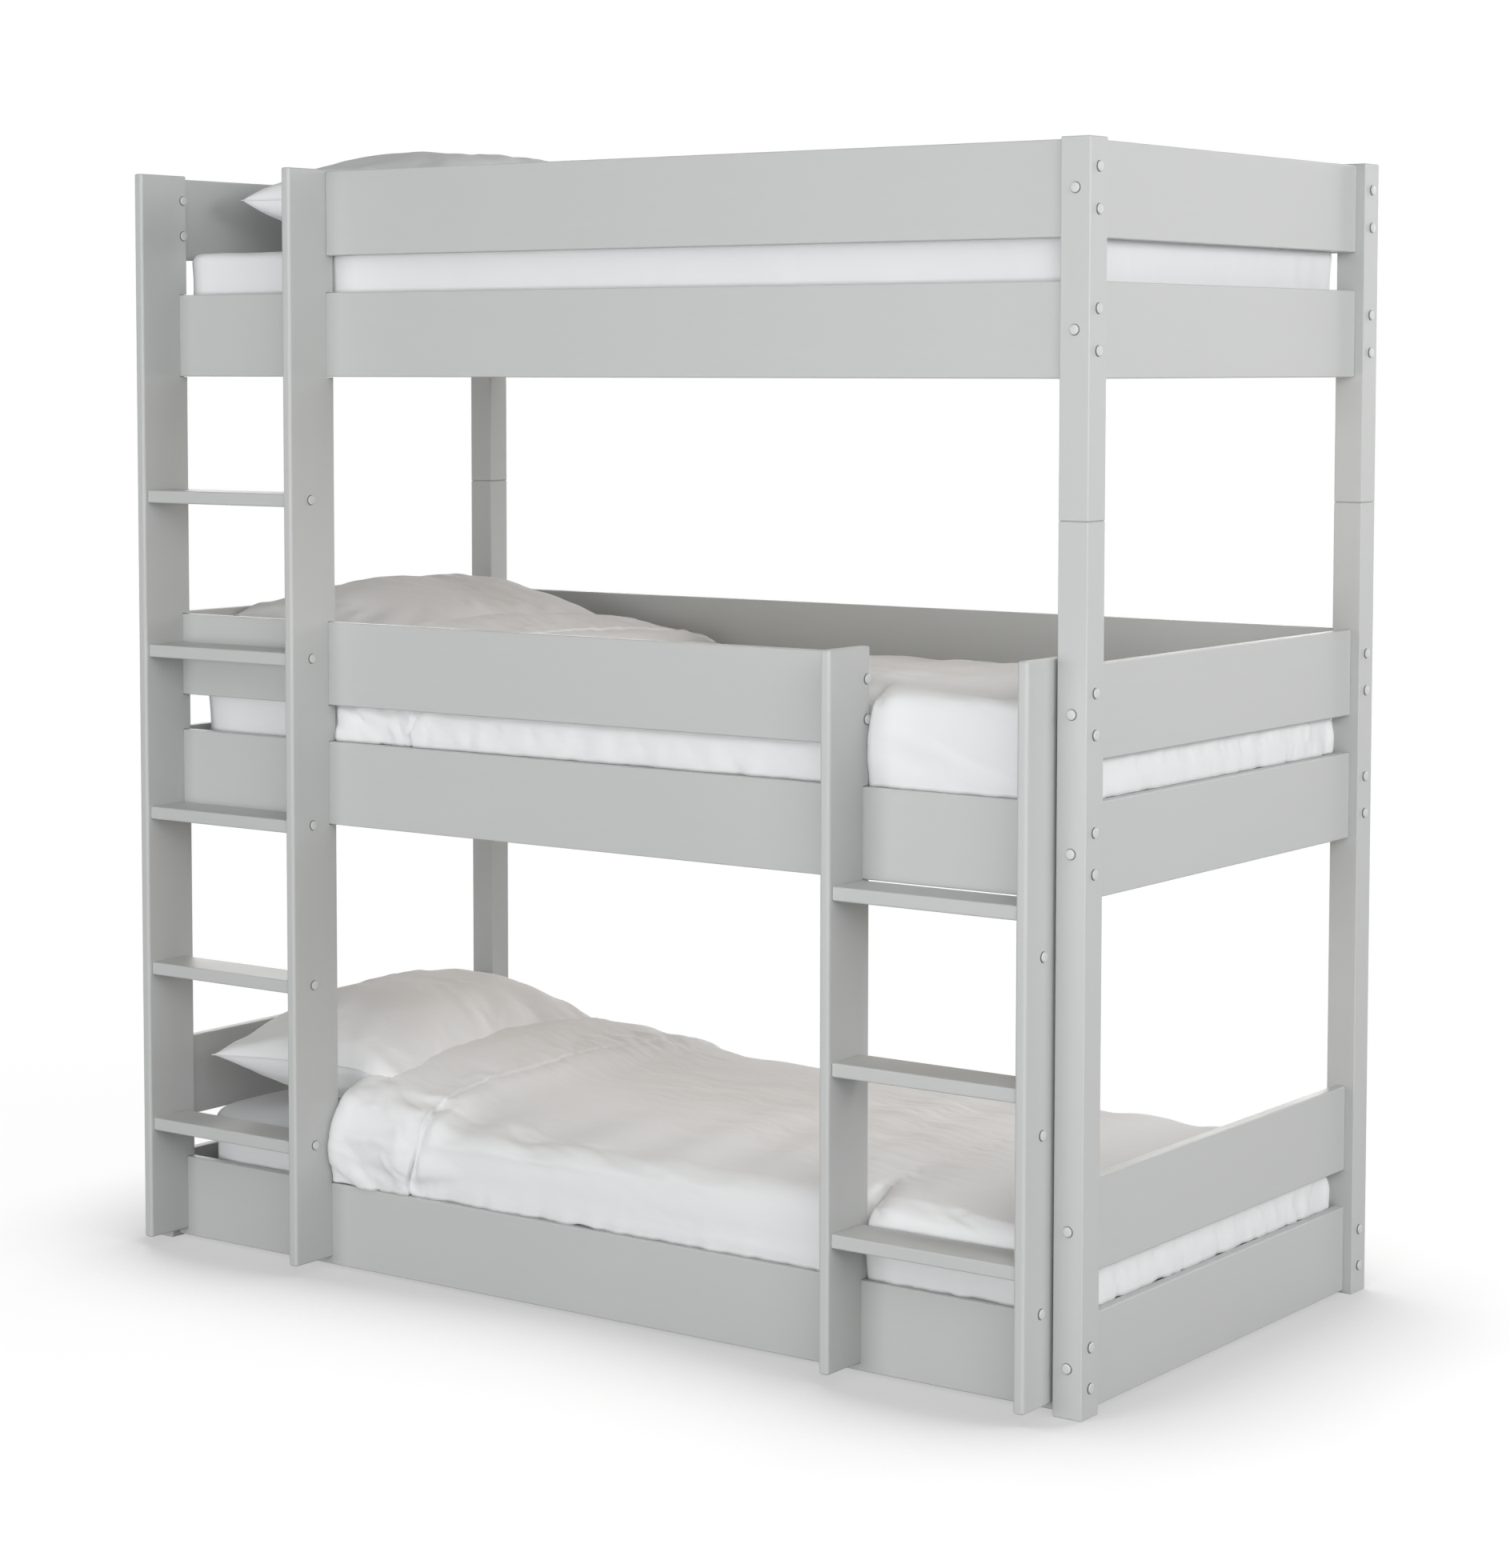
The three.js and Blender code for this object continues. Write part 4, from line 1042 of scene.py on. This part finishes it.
def add_caps(paint, shade):
    """Caps on the outer faces of the posts, and on both faces of the ladders' stiles."""
    for end, sign_x in (("head", -1), ("foot", 1)):
        for side, sign_y in (("front", -1), ("rear", 1)):
            low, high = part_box(f"post_{side}_{end}_lower")
            face_x = high.x if sign_x > 0 else low.x
            face_y = low.y if sign_y < 0 else high.y
            middle = (low + high) / 2
            heights = [height_of(f"rail_{side}_{level}") for level in levels]
            heights += [height_of(f"guard_head_{level}") for level in ("middle", "top")]
            places = []
            for z in heights:
                for offset in (-cap_pair, cap_pair):
                    places.append(((face_x, middle.y, z + offset), (sign_x, 0, 0)))
            for level in levels:
                for kind in ("rail", "guard"):
                    z = height_of(f"{kind}_{end}_{level}")
                    places.append(((middle.x, face_y, z), (0, sign_y, 0)))
            make_caps(f"post_{side}_{end}", places, paint, shade)
    tall = [height_of(f"tall_ladder_tread_{index}") for index in range(1, 6)]
    top_pair, middle_pair = (
        [height_of(f"guard_front_{level}") + offset for offset in (-cap_pair, cap_pair)]
        for level in ("top", "middle")
    )
    stiles = {
        "tall_ladder_stile_head_side": {-1: (tall, []), 1: ([], top_pair)},
        "tall_ladder_stile_foot_side": {-1: ([], top_pair), 1: (tall, [])},
        "short_ladder_stile_head_side": {-1: (short_tread_caps, []), 1: ([], middle_pair)},
        "short_ladder_stile_foot_side": {-1: ([], []), 1: (short_tread_caps, [])},
    }
    for node, sides in stiles.items():
        low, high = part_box(node)
        places = []
        for sign, (at_treads, at_guards) in sides.items():
            x = high.x if sign > 0 else low.x
            places += [((x, tread_cap_y, z), (sign, 0, 0)) for z in at_treads]
            places += [((x, guard_cap_y, z), (sign, 0, 0)) for z in at_guards]
        make_caps(node, places, paint, shade)


# CAD pieces: rounded edges shaded softly, large faces kept flat
smooth_angle = math.radians(50)


def edge_softener():
    tree = bpy.data.node_groups.new("soft_edges", "GeometryNodeTree")
    for kind in ("INPUT", "OUTPUT"):
        tree.interface.new_socket("Geometry", in_out=kind, socket_type="NodeSocketGeometry")
    group_in = tree.nodes.new("NodeGroupInput")
    group_out = tree.nodes.new("NodeGroupOutput")
    faces, edges = (tree.nodes.new("GeometryNodeSetShadeSmooth") for _ in range(2))
    faces.domain, edges.domain = "FACE", "EDGE"
    angle = tree.nodes.new("GeometryNodeInputMeshEdgeAngle")
    compare = tree.nodes.new("FunctionNodeCompare")
    compare.data_type = "FLOAT"
    compare.operation = "LESS_EQUAL"
    compare.inputs[1].default_value = smooth_angle
    link(group_in.outputs[0], faces.inputs[0])
    link(faces.outputs[0], edges.inputs[0])
    link(angle.outputs[0], compare.inputs[0])
    link(compare.outputs[0], edges.inputs[2])
    link(edges.outputs[0], group_out.inputs[0])
    return tree


def dress_frame():
    paints = [paint_material(axis) for axis in range(3)]
    timber = timber_material()
    softener = edge_softener()
    for name, node in nodes.items():
        low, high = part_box(name)
        size = high - low
        axis = max(range(3), key=lambda index: size[index])
        bare = name.startswith(("slat_base", "post_dowel"))
        node.data.materials.clear()
        node.data.materials.append(timber if bare else paints[axis])
        modifier = node.modifiers.new("soft_edges", "NODES")
        modifier.node_group = softener
        weighted = node.modifiers.new("face_weights", "WEIGHTED_NORMAL")
        weighted.keep_sharp = True
        weighted.weight = 80


def add_floor():
    size = 14
    points = [(-size, -size, 0), (size, -size, 0), (size, size, 0), (-size, size, 0)]
    mesh = bpy.data.meshes.new("floor")
    mesh.from_pydata(points, [], [(0, 1, 2, 3)])
    mesh.materials.append(floor_material())
    floor = bpy.data.objects.new("floor", mesh)
    scene.collection.objects.link(floor)


scene.view_settings.view_transform = "Standard"
add_camera()
add_world()
for panel in panels:
    add_panel(*panel)
add_floor()
dress_frame()
cotton = cloth_material("white_cotton", (0.836, 0.842, 0.850), (0.860, 0.866, 0.874), 0.16)
sheet = cloth_material("white_sheet", (0.806, 0.814, 0.826), (0.831, 0.839, 0.851), 0.08)
for level in levels:
    make_mattress(level, sheet)
    make_pillow(level, cotton)
for level in ("middle", "bottom"):
    make_duvet(level, cotton)
cap_paint = cap_material("cap_paint", (0.60, 0.61, 0.605), (0.64, 0.645, 0.64))
# Near-black colour for the rings round the caps: painted shadow.
shadow_ring_paint = cap_material("shadow_ring_paint", (0.16, 0.165, 0.16), (0.20, 0.205, 0.20))
add_caps(cap_paint, shadow_ring_paint)
